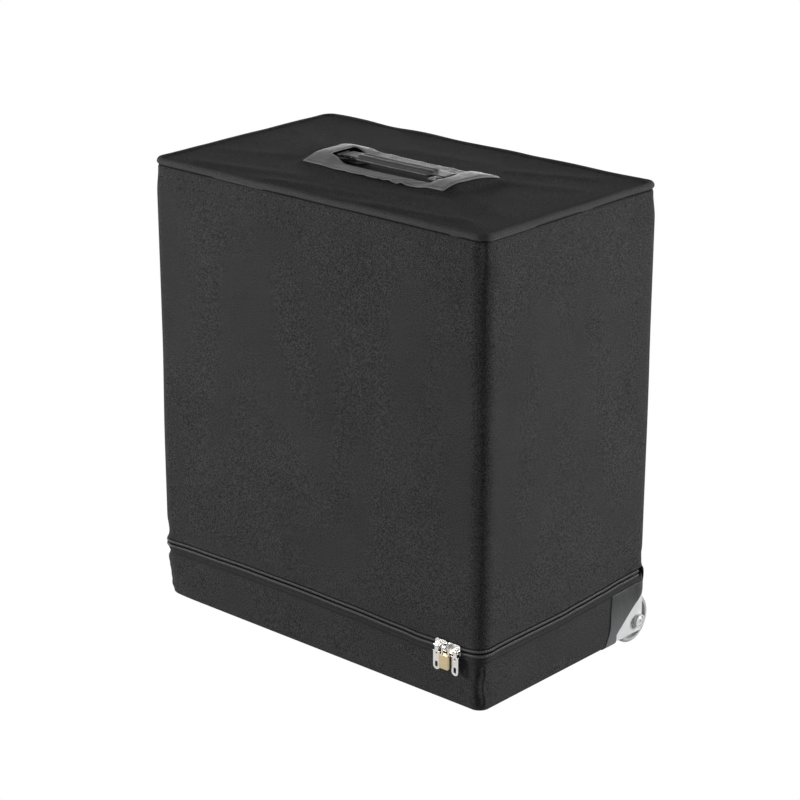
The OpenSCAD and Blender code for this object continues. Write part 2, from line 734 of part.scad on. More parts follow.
module handle_grip() color(black_plastic) seat() translate([0, handle_y, ring_bar_z]) {
    grip_low = -1;
    neck = 10;
    tongue_w = grip_w - 4;
    slot_h = ring_d + 2 * loop_play;
    slot_far = ring_r + loop_play;
    tongue_r = slot_h / 2 + 1.5;
    difference() {
        union() {
            along_x(-grip_l / 2 + neck, grip_l / 2 - neck) translate([0, grip_low]) grip_section();
            for (side = [-1, 1]) mirror([side < 0 ? 1 : 0, 0, 0]) {
                along_y(-tongue_w / 2, tongue_w / 2) {
                    end = grip_l / 2 + 5 + loop_slot + slot_far;
                    translate([grip_l / 2 - neck - 1, -tongue_r])
                        square([end - grip_l / 2 + neck + 1 - tongue_r + 1.5, 2 * tongue_r]);
                    translate([end + 1.5 - tongue_r, 0]) circle(tongue_r);
                }
            }
        }
        for (side = [-1, 1]) mirror([side < 0 ? 1 : 0, 0, 0]) along_y(-far, far) {
            near = grip_l / 2 + 5 - slot_far + ring_r;
            last = grip_l / 2 + 5 + loop_slot;
            translate([near, 0]) circle(slot_h / 2);
            translate([last, 0]) circle(slot_h / 2);
            translate([near, -slot_h / 2]) square([last - near, slot_h]);
        }
    }
}

// A closed tube of rounded rectangular section
module pole_tube(w, d, z0, z1) translate([0, 0, z0]) linear_extrude(z1 - z0) difference() {
    rounded_rect(w, d, d * 0.32);
    rounded_rect(w - 2 * tube_wall, d - 2 * tube_wall, (d - 2 * tube_wall) * 0.32);
}

module pole_pair() for (side = [-1, 1]) translate([side * pole_pitch / 2, pole_y, 0]) children();

module pole_outer_tubes() color(steel) seat() pole_pair() pole_tube(tube_w, tube_d, tube_z0, tube_top);

module pole_middle_tubes() color(steel) seat() pole_pair() pole_tube(mid_w, mid_d, mid_low, tube_top + 1.5);

module pole_inner_tubes() color(steel) seat() pole_pair()
    pole_tube(inner_w, inner_d, mid_low + 4, pole_grip_z + 12);

// A moulded bar across both poles, flat on the cover, with a rounded rear face
module pole_bar(z0, z1, d, end) translate([0, pole_rear, z0]) linear_extrude(z1 - z0) difference() {
    l = pole_pitch + tube_w + 2 * end;
    union() {
        translate([-l / 2, 0]) square([l, d - 4]);
        translate([-l / 2 + 4, 0]) square([l - 8, d]);
        for (side = [-1, 1]) translate([side * (l / 2 - 4), d - 4]) circle(4);
    }
}

module pole_foot_bracket() color(black_plastic) seat() difference() {
    pole_bar(bracket_z, bracket_z + bracket_h, bracket_d, 10);
    pole_pair() translate([0, 0, tube_z0]) linear_extrude(far)
        rounded_rect(tube_w + 0.04, tube_d + 0.04, tube_d * 0.32);
    box([-pole_pitch / 2 + tube_w / 2 + 6, pole_rear + screw_seat, -far],
        [pole_pitch / 2 - tube_w / 2 - 6, far, far]);
    pole_screw_holes(screw_heights[0]);
}

module pole_collar() color(black_plastic) seat() difference() {
    pole_bar(collar_z, collar_z + collar_h, bracket_d, 10);
    pole_pair() translate([0, 0, -far]) linear_extrude(far + tube_top)
        rounded_rect(tube_w + 0.04, tube_d + 0.04, tube_d * 0.32);
    pole_pair() linear_extrude(far) rounded_rect(mid_w + 2 * tube_gap, mid_d + 2 * tube_gap, mid_d * 0.32);
    box([-pole_pitch / 2 + tube_w / 2 + 6, pole_rear + screw_seat, -far],
        [pole_pitch / 2 - tube_w / 2 - 6, far, collar_z + collar_h - 4]);
    pole_screw_holes(screw_heights[1]);
}

module pole_screw_holes(z) for (x = [-screw_x, screw_x]) translate([x, 0, z]) rotate([-90, 0, 0])
    cylinder(r = 2.02, h = far);

module pole_screws() color(steel) seat()
    for (x = [-screw_x, screw_x], z = screw_heights) translate([x, pole_rear + screw_seat + 0.02, z]) {
        rotate([-90, 0, 0]) cylinder(r1 = 4, r2 = 3.2, h = 1.8);
        rotate([90, 0, 0]) cylinder(r = 2, h = screw_seat + cover_t + panel_t - 1);
    }

// The grip: a bar over both poles with a hollow underneath for the fingers
module pole_grip() color(black_plastic) seat() difference() {
    grip_depth = bracket_d + 1.2;
    translate([0, 0.6, 0]) pole_bar(pole_grip_z, pole_grip_top, grip_depth, 6);
    hollow = pole_pitch - tube_w - 12;
    along_y(-far, far) {
        translate([-hollow / 2 + 5, pole_grip_z - 1]) square([hollow - 10, 13]);
        translate([-hollow / 2, pole_grip_z - 1]) square([hollow, 8]);
        for (side = [-1, 1]) translate([side * (hollow / 2 - 5), pole_grip_z + 7]) circle(5);
    }
    pole_pair() translate([0, 0, -far]) linear_extrude(far + pole_grip_z + 12.02)
        rounded_rect(inner_w + 0.04, inner_d + 0.04, inner_d * 0.32);
    translate([0, pole_y, pole_grip_top - 8]) linear_extrude(far) rounded_rect(34, 9, 3);
}

module pole_button() color(steel) seat() translate([0, pole_y, pole_grip_top - 4.5])
    linear_extrude(4.5 + button_travel - 1) rounded_rect(33.4, 8.4, 2.7);

// One slider: plates behind and before the coil, joined by a wedge between the rows,
// a rolled edge below, a bridge for the pull and an eye for the lock.
// It is drawn with its meeting end at x = 0 and its body towards +x, depth towards -y.
module slider_body() {
    low = seam_z - slider_h / 2;
    wedge_t = row_gap - 0.6;
    depth_y = function (depth) ply_front - depth;
    plate_r = 2.6;
    along_y(depth_y(plate_face), depth_y(plate_out)) translate([slider_len / 2, seam_z])
        rounded_rect(slider_len, slider_h, plate_r);
    along_y(depth_y(row_in - slider_play), depth_y(0.25)) translate([slider_len / 2, seam_z])
        rounded_rect(slider_len - 2, slider_h - 2, plate_r);
    box([2, depth_y(plate_out + 0.1), seam_z - wedge_t / 2],
        [slider_len - 6, depth_y(row_in - slider_play - 0.1), seam_z + wedge_t / 2]);
    box([plate_r, depth_y(plate_face), low], [slider_len - plate_r, depth_y(cover_t + tape_t + 0.3),
        seam_z - row_near - row_h - 0.3]);
    bridge_x = slider_len - bridge_len;
    along_x(bridge_x, slider_len) translate([depth_y(bar_depth), seam_z]) circle(bar_r);
    for (x = [bridge_x, slider_len - 1.4])
        box([x, depth_y(bar_depth + bar_r - 0.1), seam_z - bar_r],
            [x + 1.4, depth_y(plate_face - 0.1), seam_z + bar_r]);
    difference() {
        along_x(0, eye_t) {
            translate([depth_y(eye_depth), eye_z]) circle(3.4);
            translate([depth_y(eye_depth), eye_z - 3.4]) square([eye_depth - plate_face + 0.1, 6.8]);
        }
        along_x(-1, eye_t + 1) translate([depth_y(eye_depth), eye_z]) circle(shackle_r + 0.6);
    }
}

module zip_slider(side) color(steel) seat() translate([meet_x, 0, 0])
    mirror([side < 0 ? 1 : 0, 0, 0]) translate([slider_gap, 0, 0]) slider_body();

// One pull: a barrel round the slider's bar, a neck, and a plate with an oblong hole
module zip_pull(side) color(steel) seat()
    translate([meet_x + side * (slider_gap + slider_len - 1.4 - bar_end - barrel_w / 2),
        ply_front - bar_depth, seam_z]) {
        end_r = pull_w / 2;
        neck = barrel_r + 5;
        difference() {
            union() {
                along_x(-barrel_w / 2, barrel_w / 2) circle(barrel_r);
                along_y(-pull_t / 2, pull_t / 2) {
                    translate([-barrel_w / 2, -neck - 1]) square([barrel_w, neck + 1]);
                    translate([-end_r, -pull_len + end_r]) square([pull_w, pull_len - neck - end_r]);
                    translate([0, -pull_len + end_r]) circle(end_r);
                }
            }
            along_x(-far, far) circle(bar_r + 0.1);
            along_y(-far, far) {
                hole_r = 1.9;
                translate([0, -pull_len + end_r]) circle(hole_r);
                translate([0, -pull_len + end_r + 3.4]) circle(hole_r);
                translate([-hole_r, -pull_len + end_r]) square([2 * hole_r, 3.4]);
                translate([0, -neck - 2.5]) circle(1.1);
            }
        }
    }

module lock_place() translate([meet_x, ply_front - eye_depth, eye_z]) children();

module padlock_shackle() color(steel) seat() lock_place() {
    heel = shackle_h + 8;
    toe = shackle_h + lock_drop - 0.5;
    rotate([0, 90, 0]) cylinder(r = shackle_r, h = 2 * (leg_x - bend_r), center = true);
    for (side = [-1, 1]) mirror([side < 0 ? 1 : 0, 0, 0]) {
        translate([leg_x - bend_r, 0, -bend_r]) rotate([90, 0, 0]) rotate_extrude(angle = 90)
            translate([bend_r, 0]) circle(shackle_r);
        leg = side < 0 ? heel : toe;
        translate([leg_x, 0, -leg]) cylinder(r = shackle_r, h = leg - bend_r);
    }
}

module padlock_body() color(brass) seat() lock_place() translate([0, 0, -shackle_h - lock_h]) {
    difference() {
        intersection() {
            along_y(-lock_t / 2, lock_t / 2) translate([0, lock_h / 2]) rounded_rect(lock_w, lock_h, 1.6);
            linear_extrude(lock_h) rounded_rect(lock_w, lock_t, 1.6);
        }
        translate([-leg_x, 0, lock_h - 10]) cylinder(r = shackle_r + lock_play, h = 20);
        translate([leg_x, 0, lock_h - 5]) cylinder(r = shackle_r + lock_play, h = 20);
        translate([0, 0, -1]) cylinder(r = plug_r + plug_play, h = 8);
    }
}

module padlock_key_plug() color(steel) seat() lock_place() translate([0, 0, -shackle_h - lock_h])
    difference() {
        translate([0, 0, 0.1]) cylinder(r = plug_r, h = 6.8);
        translate([-0.5, -plug_r + 0.5, -1]) cube([1, 2 * plug_r - 1, 6]);
    }

base_floor();
base_front_rail();
base_rear_rail();
base_side_rail(-1);  // base_left_rail
base_side_rail(1);  // base_right_rail
base_liner();
base_pad();
base_cover();
zip_lower();
wheel_patch(-1);  // wheel_patch_left
wheel_patch(1);  // wheel_patch_right
wheel_housing(-1);  // wheel_housing_left
wheel_housing(1);  // wheel_housing_right
axle_bolt(-1);  // axle_bolt_left
axle_bolt(1);  // axle_bolt_right
axle_nuts();
front_feet();
foot_screws();
hinge_base_leaf();
hinge_pin();
hood_front_panel();
hood_rear_panel();
hood_left_panel();
hood_right_panel();
hood_top_panel();
hood_padding();
hood_cover();
zip_upper();
slot_frame();
hinge_hood_leaf();
handle_chape(-1);  // handle_chape_left
handle_chape(1);  // handle_chape_right
handle_bolts();
handle_backing_plate();
handle_ring(-1);  // handle_ring_left
handle_ring(1);  // handle_ring_right
handle_grip();
pole_outer_tubes();
pole_foot_bracket();
pole_collar();
pole_screws();
pole_middle_tubes();
pole_inner_tubes();
pole_grip();
pole_button();
wheel_core(-1);  // wheel_core_left
wheel_core(1);  // wheel_core_right
wheel_tyre(-1);  // wheel_tyre_left
wheel_tyre(1);  // wheel_tyre_right
wheel_bearings(-1);  // wheel_bearings_left
wheel_bearings(1);  // wheel_bearings_right
zip_slider(-1);  // zip_slider_left
zip_slider(1);  // zip_slider_right
zip_pull(-1);  // zip_pull_left
zip_pull(1);  // zip_pull_right
padlock_shackle();
padlock_body();
padlock_key_plug();
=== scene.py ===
"""Looks of a wheeled accordion case in a zipped fabric cover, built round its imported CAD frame.

Pieces are shaped in millimetres in the case's own frame: x to the right, y to the rear, z up,
with the origin at the middle of the tray's underside. Part.to_row() moves them to the row frame.
"""
import logging
import math
from dataclasses import dataclass, field
from enum import Enum
from typing import Callable, Iterable, Sequence, Union

import bmesh
import bpy
from mathutils import Matrix, Vector, noise


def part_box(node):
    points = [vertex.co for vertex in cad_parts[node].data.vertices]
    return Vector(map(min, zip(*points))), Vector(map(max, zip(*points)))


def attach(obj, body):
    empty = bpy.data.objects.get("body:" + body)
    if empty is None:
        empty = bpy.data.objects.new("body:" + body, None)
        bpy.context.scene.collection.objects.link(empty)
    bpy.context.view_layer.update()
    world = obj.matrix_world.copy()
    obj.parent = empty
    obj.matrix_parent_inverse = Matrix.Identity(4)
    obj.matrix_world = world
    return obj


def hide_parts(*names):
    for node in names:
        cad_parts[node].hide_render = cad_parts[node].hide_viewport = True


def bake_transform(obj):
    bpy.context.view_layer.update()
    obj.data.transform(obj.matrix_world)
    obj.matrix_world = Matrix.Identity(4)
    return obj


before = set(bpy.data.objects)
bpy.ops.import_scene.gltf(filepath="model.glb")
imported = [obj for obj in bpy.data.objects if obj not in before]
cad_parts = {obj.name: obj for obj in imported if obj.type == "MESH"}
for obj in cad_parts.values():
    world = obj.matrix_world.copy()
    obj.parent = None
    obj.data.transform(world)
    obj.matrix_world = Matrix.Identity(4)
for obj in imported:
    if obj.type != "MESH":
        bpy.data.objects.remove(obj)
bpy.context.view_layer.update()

logging.basicConfig(level=logging.INFO, format="%(levelname)s %(message)s")
log = logging.getLogger("case")

Value = Union[float, tuple, "bpy.types.NodeSocket"]
AXIS_X, AXIS_Y, AXIS_Z = Vector((1, 0, 0)), Vector((0, 1, 0)), Vector((0, 0, 1))


class Side(Enum):
    """The two sides of the case, with the sign of their x."""

    LEFT = -1
    RIGHT = 1

    @property
    def word(self) -> str:
        """The side's name as the CAD nodes use it."""
        return self.name.lower()


# --------------------------------------------------------------------------- sizes


@dataclass(frozen=True)
class CaseSize:
    """Sizes of the covered case in millimetres, and where its origin lies in the row frame."""

    width: float
    depth: float
    height: float
    centre_y: float
    underside: float
    seam: float
    radius: float = 15.0
    low_radius: float = 6.0

    @classmethod
    def from_frame(cls) -> "CaseSize":
        """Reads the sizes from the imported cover's boxes.

        Returns:
            The sizes of the case.
        """
        low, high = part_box("hood_cover")
        floor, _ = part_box("base_cover")
        seam = (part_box("zip_lower")[1].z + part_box("zip_upper")[0].z) / 2
        return cls(
            width=(high.x - low.x) * 1000,
            depth=(high.y - low.y) * 1000,
            height=(high.z - floor.z) * 1000,
            centre_y=(high.y + low.y) * 500,
            underside=floor.z * 1000,
            seam=(seam - floor.z) * 1000,
        )

    def local(self, node: str) -> tuple[Vector, Vector]:
        """A CAD node's lowest and highest corners in the case's millimetres."""
        back = self.to_row().inverted()
        low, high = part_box(node)
        return back @ low, back @ high

    def to_row(self) -> Matrix:
        """The matrix from the case's millimetres to the row frame's metres."""
        return Matrix.Scale(0.001, 4) @ Matrix.Translation((0, self.centre_y, self.underside))


CASE = CaseSize.from_frame()


def smooth(low: float, high: float, value: float) -> float:
    """Rises smoothly from 0 at low to 1 at high."""
    t = min(max((value - low) / (high - low), 0.0), 1.0)
    return t * t * (3 - 2 * t)


def hump(value: float, centre: float, width: float, power: float = 2) -> float:
    """A rounded hump of height 1, which a higher power makes flatter on top."""
    return math.exp(-abs((value - centre) / width) ** power)


def ripple(x: float, y: float, z: float) -> float:
    """Smooth noise from -1 to 1 that is the same in each run."""
    return noise.noise(Vector((x, y, z)))


@dataclass(frozen=True)
class Fold:
    """A soft ridge or groove along a line in the plane of a panel."""

    start: tuple
    end: tuple
    height: float
    width: float

    def at(self, u: float, v: float) -> float:
        """Height of the fold at a point of the panel."""
        ax, ay = self.start
        bx, by = self.end
        dx, dy = bx - ax, by - ay
        length = dx * dx + dy * dy
        t = min(max(((u - ax) * dx + (v - ay) * dy) / length, -0.2), 1.2)
        off = math.hypot(u - ax - t * dx, v - ay - t * dy)
        within = smooth(-0.2, 0.15, t) * (1 - smooth(0.85, 1.2, t))
        return self.height * math.exp(-((off / self.width) ** 2)) * within


@dataclass(frozen=True)
class Outline:
    """The case's rounded plan, and distances along it from the middle of the front."""

    half_x: float
    half_y: float
    radius: float

    @property
    def arc_x(self) -> float:
        """Distance of the corner arcs' centres from the middle, sideways."""
        return self.half_x - self.radius

    @property
    def arc_y(self) -> float:
        """Distance of the corner arcs' centres from the middle, front to rear."""
        return self.half_y - self.radius

    @property
    def quarter(self) -> float:
        """Length of one corner arc."""
        return self.radius * math.pi / 2

    @property
    def front_corner(self) -> float:
        """Distance along the outline to the middle of a front corner."""
        return self.arc_x + self.quarter / 2

    @property
    def rear_corner(self) -> float:
        """Distance along the outline to the middle of a rear corner."""
        return self.arc_x + 2 * self.arc_y + 1.5 * self.quarter

    def normal(self, x: float, y: float) -> Vector:
        """Outward direction of the wall nearest to a point."""
        dx, dy = abs(x) - self.arc_x, abs(y) - self.arc_y
        if dx > 1e-4 and dy > 1e-4:
            out = Vector((dx, dy, 0)).normalized()
        else:
            out = Vector((1, 0, 0)) if dx > dy else Vector((0, 1, 0))
        return Vector((math.copysign(out.x, x), math.copysign(out.y, y), 0))

    def station(self, x: float, y: float) -> float:
        """Distance along the outline from the middle of the front, positive to the right."""
        out = self.normal(x, y)
        side = 1.0 if x >= 0 else -1.0
        turn = math.atan2(abs(out.x), -out.y)
        if turn < 1e-6:
            return x
        if turn < math.pi / 2 - 1e-6:
            run = self.arc_x + self.radius * turn
        elif turn < math.pi / 2 + 1e-6:
            run = self.arc_x + self.quarter + y + self.arc_y
        elif turn < math.pi - 1e-6:
            run = self.arc_x + 2 * self.arc_y + self.radius * turn
        else:
            run = self.arc_x + 2 * self.arc_y + 2 * self.quarter + self.arc_x - abs(x)
        return side * run

    def place(self, run: float, out: float) -> Vector:
        """The point at a distance along the outline, moved outwards.

        Args:
            run: Distance from the middle of the front, positive to the right.
            out: Distance outwards from the wall.

        Returns:
            The point, at height 0.
        """
        side, run = (1.0 if run >= 0 else -1.0), abs(run)
        if run <= self.arc_x:
            return Vector((side * run, -self.half_y - out, 0))
        run -= self.arc_x
        if run <= self.quarter:
            turn = run / self.radius
        else:
            run -= self.quarter
            if run <= 2 * self.arc_y:
                return Vector((side * (self.half_x + out), run - self.arc_y, 0))
            turn = math.pi / 2 + (run - 2 * self.arc_y) / self.radius
        reach = self.radius + out
        y = -self.arc_y if turn <= math.pi / 2 + 1e-9 else self.arc_y
        return Vector((side * (self.arc_x + reach * math.sin(turn)), y - reach * math.cos(turn), 0))


PLAN = Outline(CASE.width / 2, CASE.depth / 2, CASE.radius)


@dataclass(frozen=True)
class SeamWave:
    """How far the sewn zip wanders above and below its straight middle line."""

    knots: tuple = (
        (-520, 7.0), (-450, 4.5), (-372, 2.5), (-300, 2.0), (-258, 1.0), (-243, -1.0), (-186, 0.3),
        (-103, 1.9), (-22, 2.2), (57, 1.2), (132, -0.6), (162, -1.8), (180, -1.2), (196, 0.0),
        (222, 0.3), (240, 2.2), (257, 3.2), (322, 3.2), (375, 3.0), (412, 4.8), (448, 6.4),
        (486, 8.8), (522, 11.0),
    )

    def at(self, run: float) -> float:
        """Height of the wave at a distance along the outline."""
        if run <= self.knots[0][0]:
            return self.knots[0][1]
        for (a, low), (b, high) in zip(self.knots, self.knots[1:]):
            if run <= b:
                return low + (high - low) * smooth(a, b, run)
        return self.knots[-1][1]


WAVE = SeamWave()


# --------------------------------------------------------------------------- materials


class Shader:
    """A material that is put together from nodes."""

    def __init__(self, name: str) -> None:
        self.material = bpy.data.materials.new(name)
        self.material.use_nodes = True
        self.tree = self.material.node_tree
        self.tree.nodes.clear()

    def add(self, kind: str, settings: dict | None = None, **inputs: Value) -> bpy.types.Node:
        """Adds a node.

        Args:
            kind: The node's type without its ShaderNode prefix.
            settings: Properties of the node itself.
            inputs: Values or sockets by input name, with underscores for spaces, or by number
                as iN.

        Returns:
            The new node.
        """
        node = self.tree.nodes.new("ShaderNode" + kind)
        for key, value in (settings or {}).items():
            setattr(node, key, value)
        for key, value in inputs.items():
            by_number = key[0] == "i" and key[1:].isdigit()
            socket = node.inputs[int(key[1:]) if by_number else key.replace("_", " ")]
            if isinstance(value, bpy.types.NodeSocket):
                self.tree.links.new(value, socket)
            elif socket.type == "RGBA" and len(value) == 3:
                socket.default_value = (*value, 1.0)
            else:
                socket.default_value = value
        return node

    def object_point(self, scale: float | tuple = 1.0) -> bpy.types.NodeSocket:
        """The point in the object's own space, which is the row frame in metres, scaled."""
        spread = scale if isinstance(scale, tuple) else (scale, scale, scale)
        point = self.add("TexCoord").outputs["Object"]
        return self.add("Mapping", Vector=point, Scale=spread).outputs[0]

    def math(self, operation: str, a: Value, b: Value = 0.0) -> bpy.types.NodeSocket:
        """The result of one arithmetic step."""
        return self.add("Math", {"operation": operation}, i0=a, i1=b).outputs[0]

    def noise(self, scale: float, detail: float = 2.0, rough: float = 0.5) -> bpy.types.NodeSocket:
        """Noise in the object's space with a number of cells per metre."""
        return self.add("TexNoise", Vector=self.object_point(), Scale=scale, Detail=detail,
                        Roughness=rough).outputs["Fac"]

    def wave(self, across: tuple, pitch: float) -> bpy.types.NodeSocket:
        """Even bands across a direction, a pitch in metres apart, from 0 to 1."""
        length = math.sqrt(sum(c * c for c in across))
        turns = tuple(2 * math.pi * c / (pitch * length) for c in across)
        run = self.add("VectorMath", {"operation": "DOT_PRODUCT"}, i0=self.object_point(),
                       i1=turns).outputs["Value"]
        return self.math("MULTIPLY_ADD", self.math("SINE", run), 0.5)

    def mix(self, factor: Value, a: Value, b: Value) -> bpy.types.NodeSocket:
        """One colour turning into another."""
        node = self.add("MixRGB", Fac=factor)
        for socket, value in ((node.inputs[1], a), (node.inputs[2], b)):
            if isinstance(value, bpy.types.NodeSocket):
                self.tree.links.new(value, socket)
            else:
                socket.default_value = (*value[:3], 1.0)
        return node.outputs[0]

    def ramp(self, factor: Value, low: float, high: float) -> bpy.types.NodeSocket:
        """Stretches the part of a factor between low and high to 0 to 1."""
        return self.add("MapRange", {"clamp": True}, Value=factor, i1=low, i2=high).outputs[0]

    def bump(self, height: Value, distance: float, strength: float = 1.0,
             normal: Value | None = None) -> bpy.types.NodeSocket:
        """A normal tilted by a height."""
        node = self.add("Bump", Height=height, Distance=distance, Strength=strength)
        if normal is not None:
            self.tree.links.new(normal, node.inputs["Normal"])
        return node.outputs[0]

    def surface(self, **inputs: Value) -> bpy.types.Material:
        """Ends the material in one principled surface.

        Args:
            inputs: The surface's inputs by name.

        Returns:
            The finished material.
        """
        surface = self.add("BsdfPrincipled", **inputs)
        self.add("OutputMaterial", Surface=surface.outputs[0])
        return self.material


@dataclass(frozen=True)
class FabricFinish:
    """Woven nylon: a fine diagonal weave, uneven yarn and a little sheen."""

    name: str
    colour: tuple
    light: tuple
    pitch: float = 0.0009
    roughness: float = 0.82
    sheen: float = 0.02
    relief: float = 0.00016
    mottle: float = 0.2
    welt: bool = False

    def _paint_welt_light(self, s: Shader, colour: bpy.types.NodeSocket) -> bpy.types.NodeSocket:
        """Painted highlight on the rolled edge of the top, over painted shade in the crease."""
        at = s.add("SeparateXYZ", Vector=s.add("TexCoord").outputs["Object"])
        middle, top = CASE.centre_y / 1000, (CASE.underside + CASE.height) / 1000
        side = s.math("SUBTRACT", s.math("ABSOLUTE", at.outputs[0]), CASE.width / 2000 - 0.0055)
        along = s.math("ABSOLUTE", s.math("SUBTRACT", at.outputs[1], middle))
        end = s.math("SUBTRACT", along, CASE.depth / 2000 - 0.0055)
        rim = s.math("GREATER_THAN", s.math("MAXIMUM", side, end), 0.0)
        roll = s.math("MULTIPLY", rim, s.ramp(at.outputs[2], top - 0.0058, top - 0.0045))
        over = s.math("ABSOLUTE", s.math("SUBTRACT", at.outputs[2], top - 0.0066))
        crease_shade = s.math("LESS_THAN", over, 0.0009)
        # Painted highlight along the roll, then painted shade in the crease below it
        wear_and_highlight = s.mix(s.math("MULTIPLY", roll, 0.22), colour, tuple(1.9 * c for c in self.light))
        return s.mix(s.math("MULTIPLY", crease_shade, 0.85), wear_and_highlight, self.colour)

    def build(self) -> bpy.types.Material:
        """Makes the material."""
        s = Shader(self.name)
        weave = s.math("MULTIPLY", s.wave((1, 1, 1), self.pitch), s.wave((1, 1, -1), self.pitch))
        cross = s.math("ADD", weave, s.wave((1, -1, 1), self.pitch * 1.3))
        yarn = s.noise(980, 2, 0.6)
        patch = s.noise(16, 3, 0.55)
        tone = s.math("ADD", s.math("MULTIPLY", s.ramp(yarn, 0.40, 0.60), 1 - self.mottle),
                      s.math("MULTIPLY", patch, self.mottle))
        height = s.math("ADD", s.math("MULTIPLY", cross, 0.35), yarn)
        soft = s.bump(s.noise(55, 3, 0.5), 0.0009, 0.55)
        normal = s.bump(height, self.relief * 4, 0.85, soft)
        colour = s.mix(tone, self.colour, self.light)
        # Painted highlight and shade on the welt of the top
        if self.welt:
            colour = self._paint_welt_light(s, colour)
        return s.surface(Base_Color=colour, Roughness=self.roughness, Normal=normal,
                         Sheen_Weight=self.sheen, Sheen_Roughness=0.5, Specular_IOR_Level=0.07)


@dataclass(frozen=True)
class LeatheretteFinish:
    """Coated fabric with a fine grain and a satin shine."""

    name: str
    colour: tuple
    light: tuple
    roughness: float = 0.42
    grain: float = 900.0
    relief: float = 0.00012
    shine: float = 0.5
    bounce_lit_below: float = 0.0

    def build(self) -> bpy.types.Material:
        """Makes the material."""
        s = Shader(self.name)
        cells = s.add("TexVoronoi", {"feature": "DISTANCE_TO_EDGE"}, Vector=s.object_point(),
                      Scale=self.grain).outputs["Distance"]
        cloud = s.noise(38, 4, 0.6)
        wear = s.ramp(cloud, 0.35, 0.7)
        soft = s.bump(s.noise(120, 3, 0.5), 0.0012, 0.5)
        normal = s.bump(s.ramp(cells, 0.0, 0.25), self.relief, 0.6, soft)
        rough = s.add("MapRange", Value=cloud, i3=self.roughness - 0.07,
                      i4=self.roughness + 0.12).outputs[0]
        colour = s.mix(wear, self.colour, self.light)
        if self.bounce_lit_below:
            # Painted bounce light from the floor: the patch turns paler towards the bottom
            height = s.add("SeparateXYZ", Vector=s.add("TexCoord").outputs["Object"]).outputs[2]
            pale = tuple(3.3 * c for c in self.light)
            colour = s.mix(s.ramp(height, self.bounce_lit_below - 0.05, self.bounce_lit_below), pale, colour)
        return s.surface(Base_Color=colour, Roughness=rough, Normal=normal,
                         Specular_IOR_Level=self.shine)


@dataclass(frozen=True)
class PlushFinish:
    """Short pile cloth of the lining."""

    name: str
    colour: tuple
    light: tuple

    def build(self) -> bpy.types.Material:
        """Makes the material."""
        s = Shader(self.name)
        pile = s.noise(900, 4, 0.7)
        brush = s.noise(24, 3, 0.5)
        shade = s.math("ADD", s.math("MULTIPLY", pile, 0.6), s.math("MULTIPLY", brush, 0.4))
        return s.surface(Base_Color=s.mix(shade, self.colour, self.light), Roughness=0.95,
                         Normal=s.bump(pile, 0.0012, 0.8, s.bump(brush, 0.002, 0.4)),
                         Sheen_Weight=0.5, Sheen_Roughness=0.35, Specular_IOR_Level=0.15)


@dataclass(frozen=True)
class MetalFinish:
    """Bare or plated metal with rounded-looking edges, fine scratches and smudges."""

    name: str
    colour: tuple
    roughness: float = 0.25
    brush: tuple | None = None
    edge: float = 0.0003
    smudge: float = 0.12

    def build(self) -> bpy.types.Material:
        """Makes the material."""
        s = Shader(self.name)
        rounded = s.add("Bevel", {"samples": 6}, Radius=self.edge).outputs[0]
        if self.brush:
            streaks = s.add("TexNoise", Vector=s.object_point(self.brush), Scale=1.0,
                            Detail=3.0).outputs["Fac"]
        else:
            streaks = s.noise(700, 3, 0.6)
        cloud = s.noise(90, 3, 0.6)
        rough = s.add("MapRange", Value=cloud, i3=self.roughness - 0.05,
                      i4=self.roughness + self.smudge).outputs[0]
        wear_and_highlight = tuple(min(1.0, c * 0.8) for c in self.colour)
        return s.surface(Base_Color=s.mix(s.ramp(streaks, 0.3, 0.7), wear_and_highlight, self.colour),
                         Metallic=1.0, Roughness=rough,
                         Normal=s.bump(streaks, 0.00003, 0.5, rounded))


@dataclass(frozen=True)
class PlasticFinish:
    """Moulded plastic or rubber with a fine spark-eroded surface."""

    name: str
    colour: tuple
    roughness: float = 0.45
    grain: float = 1100.0
    relief: float = 0.00005
    edge: float = 0.0004
    through: float = 0.0
    mottle: float = 0.12

    def build(self) -> bpy.types.Material:
        """Makes the material."""
        s = Shader(self.name)
        rounded = s.add("Bevel", {"samples": 6}, Radius=self.edge).outputs[0]
        fine = s.noise(self.grain, 2, 0.5)
        cloud = s.noise(45, 3, 0.55)
        dim = tuple(c * (1 - self.mottle) for c in self.colour)
        rough = s.add("MapRange", Value=cloud, i3=self.roughness - 0.05,
                      i4=self.roughness + 0.08).outputs[0]
        inputs: dict = {}
        if self.through:
            inputs = {"Subsurface_Weight": self.through, "Subsurface_Radius": (0.006, 0.006, 0.006),
                      "Subsurface_Scale": 1.0}
        return s.surface(Base_Color=s.mix(s.ramp(cloud, 0.35, 0.65), dim, self.colour), Roughness=rough,
                         Normal=s.bump(fine, self.relief, 0.5, rounded), **inputs)


